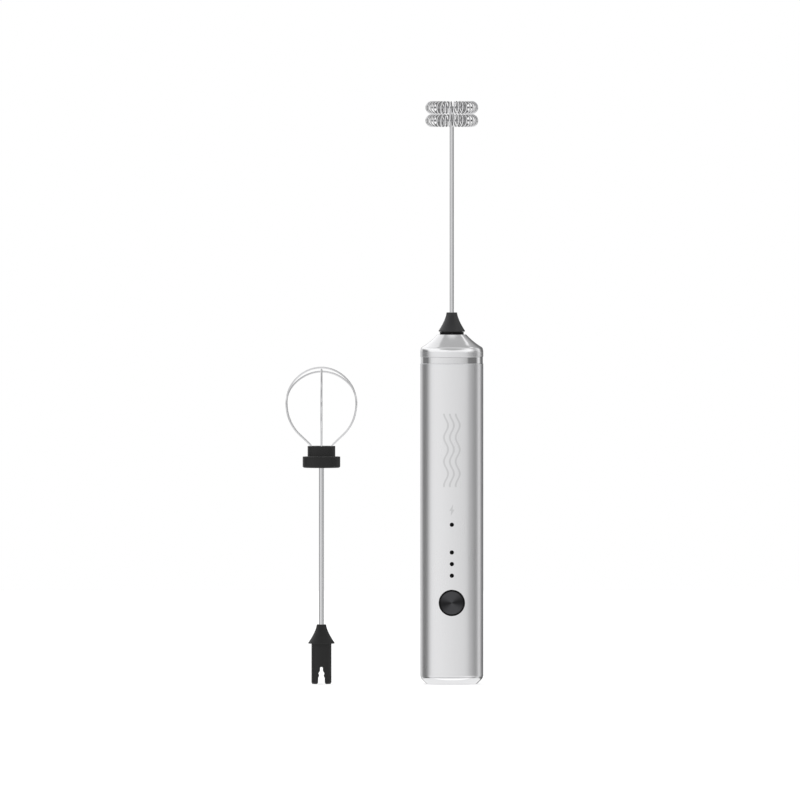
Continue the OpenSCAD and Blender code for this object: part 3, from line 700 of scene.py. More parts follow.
def slot_ring(width, height, y, z, count):
    """A ring with round ends that stands across Y."""
    half = (width - height) / 2
    ring = []
    for k in range(count):
        angle = TURN * (k + 0.5) / count
        side = half if math.cos(angle) > 0 else -half
        ring.append((side + height / 2 * math.cos(angle), y, z + height / 2 * math.sin(angle)))
    return ring


def slot_bar(name, width, height, low, high, z):
    """A bar with round ends that runs along Y, as wide as a socket's opening."""
    return skinned(name, [slot_ring(width, height, y, z, 48) for y in (low, high)], True)


def slotted_tube(name, outer, inner, low, high, z, edge):
    """A tube with a round-ended opening that runs along Y, with rounded rims."""
    rings = [
        slot_ring(width + 2 * pull, height + 2 * pull, y, z, 64)
        for (width, height), y, pull in (
            (outer, low, 0), (outer, high - edge, 0), (outer, high, -edge),
            (inner, high, edge), (inner, high - edge, 0), (inner, low, 0),
        )
    ]
    made = skinned(name, rings, False)
    made.data.shade_smooth()
    made.data.set_sharp_from_angle(angle=math.radians(30))
    return made


def block_mesh(name, low, high):
    """A plain box mesh between two corners."""
    maker = bmesh.new()
    bmesh.ops.create_cube(maker, size=1)
    low, high = Vector(low), Vector(high)
    for vert in maker.verts:
        vert.co = (low + high) / 2 + vert.co * (high - low)
    return keep_mesh(name, maker)


def rounded_block(name, low, high, edge):
    """A box with rounded edges."""
    made = add_object(name, block_mesh(name, low, high))
    bevel = made.modifiers.new("Round", "BEVEL")
    bevel.width, bevel.segments = edge, 3
    plain_mesh(made)
    made.data.shade_smooth()
    made.data.set_sharp_from_angle(angle=math.radians(40))
    return made


def rod_cutter(radius, low, high, place):
    """A plain round cutter."""
    corners = [(0, low), (radius, low, 1e-6), (radius, high, 1e-6), (0, high)]
    return turned_object("cutter", rounded(corners), place, sides=64)


def foot_edge(from_z, to_z, steps=16):
    """The handle's rounded lower edge as points, an arc that a 45 degree chamfer leads into."""
    radius = bpy.context.scene.frother_handle.foot_radius
    centre = Vector((HANDLE_R - radius, TUBE_LOW.z + 0.8 * MM))
    spots = []
    for k in range(steps + 1):
        angle = math.radians(-45 + 45 * k / steps)
        spot = centre + Vector((math.cos(angle), math.sin(angle))) * radius
        if from_z <= spot.y <= to_z:
            spots.append(tuple(spot))
    return spots


# ---- growing pieces with geometry nodes ----


def new_tree(name, inputs):
    """A geometry tree, its named inputs and its output node."""
    tree = bpy.data.node_groups.new(name, "GeometryNodeTree")
    tree.interface.new_socket("Geometry", in_out="OUTPUT", socket_type="NodeSocketGeometry")
    for label, kind, default in inputs:
        socket = tree.interface.new_socket(label, in_out="INPUT", socket_type="NodeSocket" + kind)
        if default is not None:
            socket.default_value = default
    given = {socket.name: socket for socket in node(tree, "NodeGroupInput").outputs}
    return tree, given, node(tree, "NodeGroupOutput")


def close_tree(tree, shape, material, output):
    """Ends a tree: smooth faces, real geometry, one material."""
    smooth = node(tree, "GeometryNodeSetShadeSmooth", {0: shape}).outputs[0]
    real = node(tree, "GeometryNodeRealizeInstances", {0: smooth}).outputs[0]
    shown = node(tree, "GeometryNodeSetMaterial", {0: real, "Material": material})
    tree.links.new(shown.outputs[0], output.inputs[0])


def name_points(tree, shape, label, value, kind="FLOAT"):
    """Stores a value on each point under a name."""
    inputs = {0: shape, "Name": label, "Value": value}
    return node(tree, "GeometryNodeStoreNamedAttribute", inputs, data_type=kind).outputs[0]


def read_points(tree, label):
    """A vector that the points carry under a name."""
    return node(
        tree, "GeometryNodeInputNamedAttribute", {"Name": label}, data_type="FLOAT_VECTOR"
    ).outputs[0]


def sweep_wire(tree, path, diameter, sides):
    """A round wire along a curve, with its own coordinates along and around it."""
    along = node(tree, "GeometryNodeSplineParameter").outputs["Length"]
    path = name_points(tree, path, "along", along)
    radius = calc(tree, "DIVIDE", diameter, 2)
    rim = node(tree, "GeometryNodeCurvePrimitiveCircle", {"Resolution": sides, "Radius": radius})
    around = node(tree, "GeometryNodeSplineParameter").outputs["Factor"]
    rim = name_points(tree, rim.outputs[0], "around", around)
    return node(
        tree, "GeometryNodeCurveToMesh", {0: path, "Profile Curve": rim, "Fill Caps": True}
    ).outputs[0]


def coil_tree():
    """A spring bent into a ring, which starts and ends either side of a gap at the back."""
    tree, given, output = new_tree(
        "Coil ring",
        [
            ("Ring Radius", "Float", 0.009),
            ("Turn Radius", "Float", 0.0026),
            ("Turns", "Int", 35),
            ("Height", "Float", 0.25),
            ("Gap", "Float", 0.2),
            ("Wire Diameter", "Float", 0.0006),
            ("Steps", "Int", 26),
            ("Sides", "Int", 10),
            ("Material", "Material", None),
        ],
    )
    ring_r, turn_r, height = given["Ring Radius"], given["Turn Radius"], given["Height"]
    steps = calc(tree, "MULTIPLY", given["Turns"], given["Steps"])
    line = node(tree, "GeometryNodeMeshLine", {"Count": calc(tree, "ADD", steps, 1)}).outputs[0]
    path = node(tree, "GeometryNodeMeshToCurve", {0: line}).outputs[0]
    part = calc(tree, "DIVIDE", node(tree, "GeometryNodeInputIndex").outputs[0], steps)
    sweep = calc(tree, "SUBTRACT", TURN, given["Gap"])
    start = calc(tree, "MULTIPLY_ADD", given["Gap"], 0.5, TURN / 4)
    ring = calc(tree, "MULTIPLY_ADD", part, sweep, start)
    across, back = calc(tree, "COSINE", ring), calc(tree, "SINE", ring)
    wind = product(tree, part, given["Turns"], TURN)
    reach = calc(tree, "MULTIPLY_ADD", calc(tree, "COSINE", wind), turn_r, ring_r)
    rise = calc(tree, "MULTIPLY_ADD", calc(tree, "SINE", wind), turn_r, height)
    spot = join(tree, product(tree, reach, across), product(tree, reach, back), rise)
    core = join(tree, product(tree, ring_r, across), product(tree, ring_r, back), height)
    inward = vector_calc(tree, "SUBTRACT", core, spot)
    path = name_points(tree, path, "centre", spot, "FLOAT_VECTOR")
    path = name_points(tree, path, "inward", inward, "FLOAT_VECTOR")
    path = node(tree, "GeometryNodeSetPosition", {0: path, "Position": spot}).outputs[0]
    wire = sweep_wire(tree, path, given["Wire Diameter"], given["Sides"])
    # how far each point of the wire's skin faces into the coil, from -0.5 to 0.5, which the spring
    # steel turns into painted shade
    place = node(tree, "GeometryNodeInputPosition").outputs[0]
    off = vector_calc(tree, "SUBTRACT", place, read_points(tree, "centre"))
    painted_shade_depth = vector_calc(tree, "DOT_PRODUCT", off, read_points(tree, "inward"), output="Value")
    most = calc(tree, "MULTIPLY", given["Wire Diameter"], turn_r)
    wire = name_points(tree, wire, "inside", calc(tree, "DIVIDE", painted_shade_depth, most))
    close_tree(tree, wire, given["Material"], output)
    return tree


def path_tree():
    """A round wire along the edges of the mesh that it is given."""
    tree, given, output = new_tree(
        "Wire on a path",
        [
            ("Path", "Geometry", None),
            ("Wire Diameter", "Float", 0.0009),
            ("Sides", "Int", 16),
            ("Material", "Material", None),
        ],
    )
    path = node(tree, "GeometryNodeMeshToCurve", {0: given["Path"]}).outputs[0]
    wire = sweep_wire(tree, path, given["Wire Diameter"], given["Sides"])
    close_tree(tree, wire, given["Material"], output)
    return tree


def row_tree():
    """The shape that it is given, repeated in a row."""
    tree, given, output = new_tree(
        "Row of windows",
        [
            ("Window", "Geometry", None),
            ("Count", "Int", 3),
            ("Step", "Vector", (0, 0, 0.005)),
            ("Material", "Material", None),
        ],
    )
    points = node(
        tree, "GeometryNodeMeshLine", {"Count": given["Count"], "Offset": given["Step"]}
    ).outputs[0]
    row = node(tree, "GeometryNodeInstanceOnPoints", {0: points, "Instance": given["Window"]})
    close_tree(tree, row.outputs[0], given["Material"], output)
    return tree


def grow(name, tree, slot, values, mesh=None):
    """Runs a tree on a new object with the given input values, and keeps the plain mesh."""
    made = add_object(name, mesh or bpy.data.meshes.new(name))
    modifier = made.modifiers.new("Grow", "NODES")
    modifier.node_group = tree
    values = dict(values, Material=finish_of(slot))
    for item in tree.interface.items_tree:
        if item.item_type == "SOCKET" and item.in_out == "INPUT" and item.name in values:
            modifier[item.identifier] = values[item.name]
    plain_mesh(made)
    return made


def path_mesh(name, spots, closed=False):
    """A mesh of edges through the spots."""
    edges = [(k, k + 1) for k in range(len(spots) - 1)]
    if closed:
        edges.append((len(spots) - 1, 0))
    mesh = bpy.data.meshes.new(name)
    mesh.from_pydata(spots, edges, [])
    return mesh


# ---- operators ----


def speed_light_heights():
    """The heights of the three speed lights, evenly spaced over their guide."""
    middle, pitch = size("speed_light_guide")[2].z, bpy.context.scene.frother_handle.light_pitch
    return [middle - pitch, middle, middle + pitch]


class FROTHER_OT_tube(bpy.types.Operator):
    """Make the handle's satin tube, with its holes for the button, the lights and the socket"""

    bl_idname = "frother.tube"
    bl_label = "Handle tube"

    def execute(self, context):
        sizes = context.scene.frother_handle
        edge = sizes.edge
        inner = HANDLE_R - sizes.wall
        low, high = TUBE_LOW.z + 0.04 * MM, TUBE_HIGH.z
        corners = [(inner, low, edge), (foot_edge(low, 1)[0][0] - 0.02 * MM, low, edge / 2)]
        corners += foot_edge(low + 0.1 * MM, 1)
        corners += [(HANDLE_R, high, edge), (inner, high, edge / 2)]
        outline = rounded(corners, True)
        made = turned_object("handle_tube", outline, closed=True, sides=192)
        through = (6 * MM, HANDLE_R + 2 * MM)  # from inside the tube to past its wall
        light_hole = sizes.light_r + 0.03 * MM
        holes = [(5.85 * MM, size("button_bezel")[2].z)]
        holes += [(light_hole, size("charge_light_guide")[2].z)]
        holes += [(light_hole, z) for z in speed_light_heights()]
        cutters = [
            rod_cutter(radius, *through, Matrix.Translation((0, 0, z)) @ FRONT)
            for radius, z in holes
        ]
        socket_low, socket_high, socket = size("port_bezel")
        width, height = socket_high.x - socket_low.x, socket_high.z - socket_low.z
        cutters.append(
            slot_bar("cutter", width + 0.1 * MM, height + 0.1 * MM, *through, socket.z)
        )
        cut(made, cutters)
        restore_normals(made, outline, closed=True)
        finish_piece(made, "satin_steel", "handle", "body_tube")
        return {"FINISHED"}


class FROTHER_OT_base(bpy.types.Operator):
    """Make the polished base cap with its rounded edge, and the rubber pad under it"""

    bl_idname = "frother.base"
    bl_label = "Base cap and pad"

    def execute(self, context):
        sizes = context.scene.frother_handle
        edge = sizes.edge
        seam, top, pad = TUBE_LOW.z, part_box("base_cap")[1].z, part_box("base_pad")[1]
        inner, foot = HANDLE_R - sizes.wall, HANDLE_R - 2.8 * MM
        spigot, bore = inner - 0.02 * MM, inner - 1.3 * MM
        ledge = seam - 0.06 * MM
        corners = [(0, pad.z), (pad.x, pad.z, edge / 4), (pad.x, 0, edge), (foot, 0, edge)]
        corners += foot_edge(0, seam - 0.12 * MM)
        corners += [(foot_edge(0, seam)[-1][0], ledge, edge / 4), (spigot, ledge, edge / 4)]
        corners += [(spigot, top, edge), (bore, top, edge), (bore, seam, edge), (0, seam)]
        turned_piece("base_shell", corners, "polished_metal", "handle", ["base_cap"], sides=160)
        hollow, groove, pad_r = 0.05 * MM, 0.25 * MM, pad.x - 0.05 * MM
        corners = [(0, hollow), (1.2 * MM, hollow, edge)]
        for radius in (3.2, 5.2, 7.2):
            corners += [
                ((radius + out) * MM, up, edge / 2)
                for out, up in ((-0.5, 0), (0, 0), (0.1, groove), (0.5, groove), (0.6, 0))
            ]
        corners += [(pad_r, 0, edge), (pad_r, pad.z, edge), (0, pad.z)]
        turned_piece("foot_pad", corners, "rubber", "handle", ["base_pad"])
        return {"FINISHED"}


class FROTHER_OT_nose(bpy.types.Operator):
    """Make the polished ring and the hollow-sided nose cone above it"""

    bl_idname = "frother.nose"
    bl_label = "Ring and nose"

    def execute(self, context):
        sizes = context.scene.frother_handle
        edge = sizes.edge
        low, high, _ = size("trim_ring")
        inner = HANDLE_R - sizes.wall
        gap = 0.03 * MM
        corners = [
            (inner, low.z + gap, edge),
            (high.x, low.z + gap, edge),
            (high.x, high.z - gap, edge),
            (inner, high.z - gap, edge),
        ]
        turned_piece(
            "bright_ring", corners, "polished_metal", "handle", ["trim_ring"], closed=True,
            sides=192,
        )
        cap_low, cap_high, _ = size("nose_cap")
        rim = high.z + gap
        # the upright rim leans in a little before it rounds over into the cone
        lean, lean_r, lean_z = math.radians(12), 8.5 * MM, cap_high.z - 8.4 * MM
        shoulder = [
            (HANDLE_R - lean_r * (1 - math.cos(a)), lean_z + lean_r * math.sin(a))
            for a in (lean * k / 6 for k in range(7))
        ]
        round_r, round_turn = 1.55 * MM, 49
        centre = Vector(shoulder[-1]) - Vector((math.cos(lean), math.sin(lean))) * round_r
        shoulder += [
            tuple(centre + Vector((math.cos(a), math.sin(a))) * round_r)
            for a in (lean + math.radians(round_turn * k / 8) for k in range(1, 9))
        ]
        foot, tip = Vector(shoulder[-1]), Vector((6.4 * MM, cap_high.z - 0.2 * MM))
        steps = 14
        side = []
        for k in range(1, steps):
            t = k / steps
            spot = foot.lerp(tip, t)
            side.append((spot.x, spot.y - sizes.cone_hollow * 4 * t * (1 - t)))
        bore, spigot = 5.6 * MM, inner - 0.02 * MM
        corners = [(bore, cap_low.z, edge), (spigot, cap_low.z, edge)]
        corners += [(spigot, rim - 0.05 * MM, edge / 4)]
        corners += [(HANDLE_R, rim, edge)] + shoulder + side
        corners += [(tip.x, tip.y, edge), (bore, tip.y, edge)]
        made = turned_piece(
            "nose_cone", corners, "polished_metal", "handle", ["nose_cap"], closed=True,
            sides=192, finish="nose_metal",
        )
        made.data.materials.append(finish_of("satin_steel"))
        satin_top = lean_z + 0.45 * MM
        for face in made.data.polygons:
            face.material_index = int(face.center.z < satin_top)
        return {"FINISHED"}


class FROTHER_OT_button(bpy.types.Operator):
    """Make the black bezel and the dished, spun metal button inside it"""

    bl_idname = "frother.button"
    bl_label = "Button and bezel"

    def execute(self, context):
        sizes = context.scene.frother_handle
        low, high, middle = size("button_bezel")
        place = Matrix.Translation((0, 0, middle.z)) @ FRONT
        face_low, face_high, _ = size("button_face")
        front, back, radius = -face_low.y, -face_high.y, face_high.x
        bezel_back, bezel_front = -high.y, -low.y
        edge = 0.18 * MM
        bore, outside = radius + 0.05 * MM, 5.8 * MM
        rim = [
            (bore, bezel_back, edge),
            (outside, bezel_back, edge),
            (outside, bezel_front, edge),
            (bore, bezel_front, edge * 0.8),
        ]
        ledge_in, ledge_front = 5.6 * MM, bezel_back + 0.8 * MM
        ledge = [
            (ledge_in, bezel_back, edge / 3),
            (high.x, bezel_back, edge / 3),
            (high.x, ledge_front, edge / 3),
            (ledge_in, ledge_front, edge / 3),
        ]
        for name, corners, nodes in (
            ("button_rim", rim, ["button_bezel"]),
            ("button_ledge", ledge, []),
        ):
            turned_piece(
                name, corners, "black_plastic", "handle", nodes, place, closed=True, sides=96
            )
        corners = [(0, back), (radius, back, edge / 3), (radius, front - 0.02 * MM, edge)]
        for k in range(9, -1, -1):
            t = k / 10
            corners.append((radius * 0.93 * t, front - sizes.dish * (1 - t * t)))
        turned_piece(
            "button_disc", corners, "button_metal", "button", ["button_face"], place, sides=96
        )
        return {"FINISHED"}


class FROTHER_OT_lights(bpy.types.Operator):
    """Make the charge light's window and the row of speed light windows"""

    bl_idname = "frother.lights"
    bl_label = "Light windows"

    def execute(self, context):
        radius = context.scene.frother_handle.light_r
        charge = size("charge_light_guide")
        front, back = -charge[0].y, -charge[1].y
        corners = [(0, back), (radius, back, 0.05 * MM), (radius, front - 0.06 * MM, 0.05 * MM)]
        corners += [(radius * 0.75, front - 0.02 * MM), (radius * 0.4, front), (0, front)]
        place = Matrix.Translation((0, 0, charge[2].z)) @ FRONT
        turned_piece(
            "charge_window", corners, "light_window", "handle", ["charge_light_guide"], place,
            sides=48,
        )
        heights = speed_light_heights()
        place = Matrix.Translation((0, 0, heights[0])) @ FRONT
        window = turned_mesh("speed_window", rounded(corners), place, sides=48)
        made = grow(
            "speed_windows",
            row_tree(),
            "light_window",
            {"Count": 3, "Step": (0, 0, heights[1] - heights[0])},
            window,
        )
        finish_piece(made, "light_window", "handle", "speed_light_guide")
        return {"FINISHED"}


class FROTHER_OT_socket(bpy.types.Operator):
    """Make the charging socket in the back, with its frame, shell and contact tongue"""

    bl_idname = "frother.socket"
    bl_label = "Charging socket"

    def execute(self, context):
        edge = 0.12 * MM
        low, high, middle = size("port_bezel")
        shell_low, shell_high, _ = size("charge_port")
        wide, tall = high.x - low.x, high.z - low.z
        shell_w, shell_h = shell_high.x - shell_low.x, shell_high.z - shell_low.z
        front = HANDLE_R - 0.12 * MM
        made = slotted_tube(
            "socket_frame", (wide, tall), (shell_w + 0.2 * MM, shell_h + 0.2 * MM),
            low.y, front, middle.z, edge,
        )
        finish_piece(made, "black_plastic", "handle", "port_bezel")
        wall = 0.3 * MM
        made = slotted_tube(
            "socket_shell", (shell_w, shell_h), (shell_w - 2 * wall, shell_h - 2 * wall),
            shell_low.y, shell_high.y, middle.z, edge / 2,
        )
        finish_piece(made, "plated_steel", "handle", "charge_port")
        back = slot_bar(
            "socket_back", shell_w - 1.9 * wall, shell_h - 1.9 * wall, shell_low.y,
            shell_low.y + 1.2 * MM, middle.z,
        )
        finish_piece(back, "black_plastic", "handle")
        tongue_w, tongue_h = 2.9 * MM, 0.33 * MM  # half its width and half its thickness
        tongue = rounded_block(
            "socket_tongue", (-tongue_w, shell_low.y + MM, middle.z - tongue_h),
            (tongue_w, shell_high.y - 1.3 * MM, middle.z + tongue_h), 0.08 * MM,
        )
        finish_piece(tongue, "black_plastic", "handle")
        contact_w, contact_h, contact_l = 0.13 * MM, 0.36 * MM, 3.6 * MM
        contact = block_mesh(
            "contact", (-contact_w, 0, -contact_h), (contact_w, contact_l, contact_h)
        )
        count, pitch = 11, 0.5 * MM
        start = Vector((-(count // 2) * pitch, shell_high.y - 5.2 * MM, middle.z))
        contact.transform(Matrix.Translation(start))
        made = grow(
            "socket_contacts", row_tree(), "brass", {"Count": count, "Step": (pitch, 0, 0)}, contact
        )
        finish_piece(made, "brass", "handle")
        return {"FINISHED"}


class FROTHER_OT_drive(bpy.types.Operator):
    """Make the spinning hub in the nose that takes the whisk's plug, and its cross pin"""

    bl_idname = "frother.drive"
    bl_label = "Drive hub"

    def execute(self, context):
        low, high, _ = size("drive_hub")
        step_z, floor_z = 136.4 * MM, 138.4 * MM  # the cup's underside and its floor
        shaft_r, stem_r, bore = 1 * MM, 2.6 * MM, 4.5 * MM
        edge = 0.1 * MM
        corners = [(shaft_r, low.z, edge), (stem_r, low.z, edge), (stem_r, step_z, edge)]
        corners += [(high.x, step_z, edge), (high.x, high.z, edge), (bore, high.z, 2 * edge)]
        corners += [(bore, floor_z, edge), (shaft_r, floor_z, edge)]
        turned_piece("whisk_socket", corners, "black_plastic", "drive", ["drive_hub"], closed=True)
        _, pin_high, middle = size("drive_pin")
        place = Matrix.Translation(middle) @ FRONT
        half, radius = pin_high.y - middle.y, pin_high.x
        corners = [(0, -half), (radius, -half, edge), (radius, half, edge), (0, half)]
        turned_piece(
            "cross_pin", corners, "plated_steel", "drive", ["drive_pin"], place, sides=48
        )
        return {"FINISHED"}


# half the outline of the plug's slot, as (sideways, up) in mm from the plug's lower end
PLUG_SLOT = (
    (1.95, -1), (1.95, 0), (1.5, 0.6), (1.45, 2.7), (1.05, 3.6), (1.05, 3.95), (1.3, 4.25),
    (1.3, 4.85), (0.95, 5.4), (0.66, 5.8), (0.66, 7.2), (0.3, 7.6),
)


def whisk_plug(name, cad_name, body, top_r, finish):
    """A whisk's plug: a forked barrel, whose slot runs along Y, under a flared skirt."""
    low, high, middle = size(cad_name)
    place = Matrix.Translation((middle.x, middle.y, low.z))
    edge = 0.12 * MM
    barrel_r, skirt_r = 4.45 * MM, high.x - middle.x
    barrel, tall = 17.9 * MM, high.z - low.z
    flare = barrel + 0.4 * MM  # where the skirt starts to draw in
    corners = [(0, 0), (barrel_r - 0.45 * MM, 0, edge), (barrel_r, 0.6 * MM, edge)]
    corners += [(barrel_r, barrel, edge), (skirt_r, barrel, edge), (skirt_r, flare, edge)]
    for k in range(1, 15):
        t = k / 15
        radius = top_r + (skirt_r - top_r) * (1 - t) ** 1.5
        corners.append((radius, flare + (tall - flare) * t))
    corners += [(top_r, tall, edge), (0, tall)]
    outline = rounded(corners)
    made = turned_object(name, outline, place, sides=96)
    slot = list(PLUG_SLOT) + [(-x, z) for x, z in reversed(PLUG_SLOT)]
    through = 6 * MM
    rings = [
        [place @ Vector((x * MM, y, z * MM)) for x, z in slot] for y in (-through, through)
    ]
    cut(made, [skinned("cutter", rings, True)])
    restore_normals(made, outline, place)
    return finish_piece(made, "plug_plastic", body, cad_name, finish=finish)


class FROTHER_OT_plugs(bpy.types.Operator):
    """Make the two whisks' forked plugs"""

    bl_idname = "frother.plugs"
    bl_label = "Whisk plugs"

    def execute(self, context):
        whisk_plug("froth_grip", "froth_plug", "froth_whisk", 2.35 * MM, "plug_plastic")
        whisk_plug("balloon_grip", "balloon_plug", "balloon_whisk", 2.1 * MM, "hub_plastic")
        return {"FINISHED"}


class FROTHER_OT_shafts(bpy.types.Operator):
    """Make the two whisks' steel shafts"""

    bl_idname = "frother.shafts"
    bl_label = "Whisk shafts"

    def execute(self, context):
        for name, cad_name, body in (
            ("froth_rod", "froth_shaft", "froth_whisk"),
            ("balloon_rod", "balloon_shaft", "balloon_whisk"),
        ):
            low, high, middle = size(cad_name)
            place = Matrix.Translation((middle.x, middle.y, 0))
            radius = high.x - middle.x
            edge = 0.25 * MM
            corners = [(0, low.z), (radius, low.z, edge), (radius, high.z, edge), (0, high.z)]
            turned_piece(name, corners, "whisk_steel", body, [cad_name], place, sides=64)
        return {"FINISHED"}


class FROTHER_OT_coils(bpy.types.Operator):
    """Make the froth whisk's two ring-shaped springs, and the wire rings inside them"""

    bl_idname = "frother.coils"
    bl_label = "Coil springs"

    def execute(self, context):
        sizes = context.scene.frother_whisks
        tree = coil_tree()
        turn_r = (sizes.coil_d - sizes.coil_wire) / 2
        for name, cad_name in (
            ("lower_spring", "froth_coil_lower"),
            ("upper_spring", "froth_coil_upper"),
        ):
            _, high, middle = size(cad_name)
            values = {
                "Ring Radius": high.x - sizes.coil_d / 2,
                "Turn Radius": turn_r,
                "Turns": sizes.turns,
                "Height": middle.z,
                "Gap": sizes.spoke_gap,
                "Wire Diameter": sizes.coil_wire,
            }
            made = grow(name, tree, "whisk_steel", values)
            finish_piece(made, "whisk_steel", "froth_whisk", cad_name, finish="spring_steel")
        wire = path_tree()
        wire_d = sizes.core_wire
        low, high, _ = size("froth_cores")
        ring_r = high.x - wire_d / 2
        for k, z in enumerate((low.z + wire_d / 2, high.z - wire_d / 2)):
            ring = [
                (ring_r * math.cos(TURN * i / 96), ring_r * math.sin(TURN * i / 96), z)
                for i in range(96)
            ]
            spoke = [(0, ring_r * i / 8, z) for i in range(9)]
            for name, spots, closed in (
                (f"core_ring_{k + 1}", ring, True),
                (f"core_spoke_{k + 1}", spoke, False),
            ):
                # both core wires take the core steel, whose darker colour is painted shade
                path = path_mesh(name, spots, closed)
                made = grow(name, wire, "whisk_steel", {"Wire Diameter": wire_d}, path)
                nodes = ["froth_cores"] if k == 0 and closed else []
                finish_piece(made, "whisk_steel", "froth_whisk", *nodes, finish="core_steel")
        return {"FINISHED"}


class FROTHER_OT_balloon_hub(bpy.types.Operator):
    """Make the balloon whisk's two-step hub"""

    bl_idname = "frother.balloon_hub"
    bl_label = "Balloon hub"

    def execute(self, context):
        edge = 0.3 * MM
        for name, cad_name, chamfer, low_edge in (
            ("hub_flange", "balloon_hub_base", 0.5 * MM, edge),
            ("hub_crown", "balloon_hub_top", 0, edge / 3),
        ):
            low, high, middle = size(cad_name)
            radius = high.x - middle.x
            corners = [(0, low.z)]
            if chamfer:
                corners.append((radius - chamfer, low.z, low_edge))
            corners += [(radius, low.z + chamfer, low_edge), (radius, high.z, edge), (0, high.z)]
            place = Matrix.Translation((middle.x, middle.y, 0))
            turned_piece(
                name, corners, "plug_plastic", "balloon_whisk", [cad_name], place,
                finish="hub_plastic",
            )
        return {"FINISHED"}


def arc_points(centre, radius, start, end, steps):
    """Points on an arc in the plane of a loop, with angles in degrees."""
    angles = (math.radians(start + (end - start) * k / steps) for k in range(steps + 1))
    return [Vector(centre) + Vector((math.cos(a), math.sin(a))) * radius for a in angles]


def loop_half(foot_z, start_z, leg_r, mid_z, cage_r, top_z):
    """Half a loop: a straight leg, the cage's round side, and a flatter top."""
    foot = Vector((leg_r, foot_z - mid_z))
    touch = math.degrees(math.atan2(foot.y, foot.x) + math.acos(cage_r / foot.length))
    flatten = (mid_z + cage_r - top_z) / (2 - math.sqrt(2))
    side_r = cage_r - flatten
    top_r = side_r + flatten * math.sqrt(2)
    leg_end = Vector((0, mid_z)) + cage_r * Vector(
        (math.cos(math.radians(touch)), math.sin(math.radians(touch)))
    )
    spots = [Vector((leg_r, start_z + (foot_z - 0.5 * MM - start_z) * k / 4)) for k in range(5)]
    start = Vector((leg_r, foot_z))
    spots += [start + (leg_end - start) * k / 12 for k in range(1, 12)]
    spots += arc_points((0, mid_z), cage_r, touch, 0, 28)
    spots += arc_points((flatten, mid_z), side_r, 2, 45, 22)
    spots += arc_points((0, top_z - top_r), top_r, 47, 90, 22)
    return spots


class FROTHER_OT_balloon_loops(bpy.types.Operator):
    """Make the balloon whisk's three wire loops"""

    bl_idname = "frother.balloon_loops"
    bl_label = "Balloon loops"

    def execute(self, context):
        wire_d = context.scene.frother_whisks.cage_wire
        tree = path_tree()
        _, high, hub = size("balloon_hub_top")
        leg_r, cage_r = 5.3 * MM, 17.9 * MM
        foot_z, cage_z = high.z + 0.2 * MM, high.z + 19 * MM
        for name, cad_name, angle in (
            ("cage_loop_1", "balloon_wire_a", 150),
            ("cage_loop_2", "balloon_wire_b", 30),
            ("cage_loop_3", "balloon_wire_c", 90),
        ):
            node_low, node_high, _ = size(cad_name)
            top = node_high.z - wire_d / 2
            half = loop_half(foot_z, node_low.z, leg_r, cage_z, cage_r, top)
            outline = half + [Vector((-p.x, p.y)) for p in reversed(half[:-1])]
            c, s = math.cos(math.radians(angle)), math.sin(math.radians(angle))
            spots = [(hub.x + p.x * c, hub.y + p.x * s, p.y) for p in outline]
            path = path_mesh(name, spots)
            made = grow(name, tree, "whisk_steel", {"Wire Diameter": wire_d}, path)
            finish_piece(made, "whisk_steel", "balloon_whisk", cad_name, finish="cage_steel")
        return {"FINISHED"}


class FROTHER_OT_inside(bpy.types.Operator):
    """Give every CAD part that still shows, most of them inside the handle, its finish"""

    bl_idname = "frother.inside"
    bl_label = "Inner parts"

    def execute(self, context):
        slots = {part["node"]: part["material_slot"] for part in frame["record"]["subparts"]}
        for name, part in frame["nodes"].items():
            part.data.materials.clear()
            part.data.materials.append(finish_of(slots[name]))
        return {"FINISHED"}


# ---- studio ----

# the light round the object as (degrees from the front towards +X, level): the level that a
# polished part mirrors at its own height, and the level further up and down
EYE_LEVEL = (
    (-180, 0.4), (-163, 0.65), (-150, 0.8), (-141, 0.65), (-131, 0.2), (-100, 0.2), (-92, 0.5),
    (-80, 0.84), (-60, 0.88), (-45, 0.87), (0, 0.77), (30, 0.7), (46, 0.62), (58, 0.53),
    (66, 0.2), (103, 0.18), (113, 0.72), (122, 0.95), (129, 0.55), (137, 0.17), (170, 0.17),
    (180, 0.4),
)
BEYOND = (
    (-180, 0.5), (-150, 0.8), (-141, 0.65), (-131, 0.2), (-104, 0.08), (-97, 0.8), (-90, 1.05),
    (-80, 1.08), (-60, 1.03), (0, 1.05), (35, 1.03), (60, 1.15), (70, 1.2), (80, 1.05),
    (90, 0.7), (98, 0.5), (110, 0.72), (122, 0.95), (129, 0.55), (137, 0.17), (170, 0.17),
    (180, 0.5),
)
HIGH = (
    (-180, 0.95), (-165, 1.0), (-100, 1.0), (0, 1.0), (40, 0.95), (80, 0.6), (110, 0.5),
    (140, 0.5), (172, 0.5), (180, 0.95),
)


def wall_ramp(tree, factor, stops):
    """A ramp of grey levels round the object."""
    ramp = node(tree, "ShaderNodeValToRGB", {0: factor})
    elements = ramp.color_ramp.elements
    while len(elements) < len(stops):
        elements.new(0.5)
    for element, (angle, level) in zip(elements, stops):
        element.position = (angle + 180) / 360
        element.color = (level, level, level, 1)
    return ramp.outputs[0]


def scaled(tree, shade, level):
    """A colour made lighter or darker by a level."""
    inputs = {0: shade, "Scale": level}
    return node(tree, "ShaderNodeVectorMath", inputs, operation="SCALE").outputs[0]


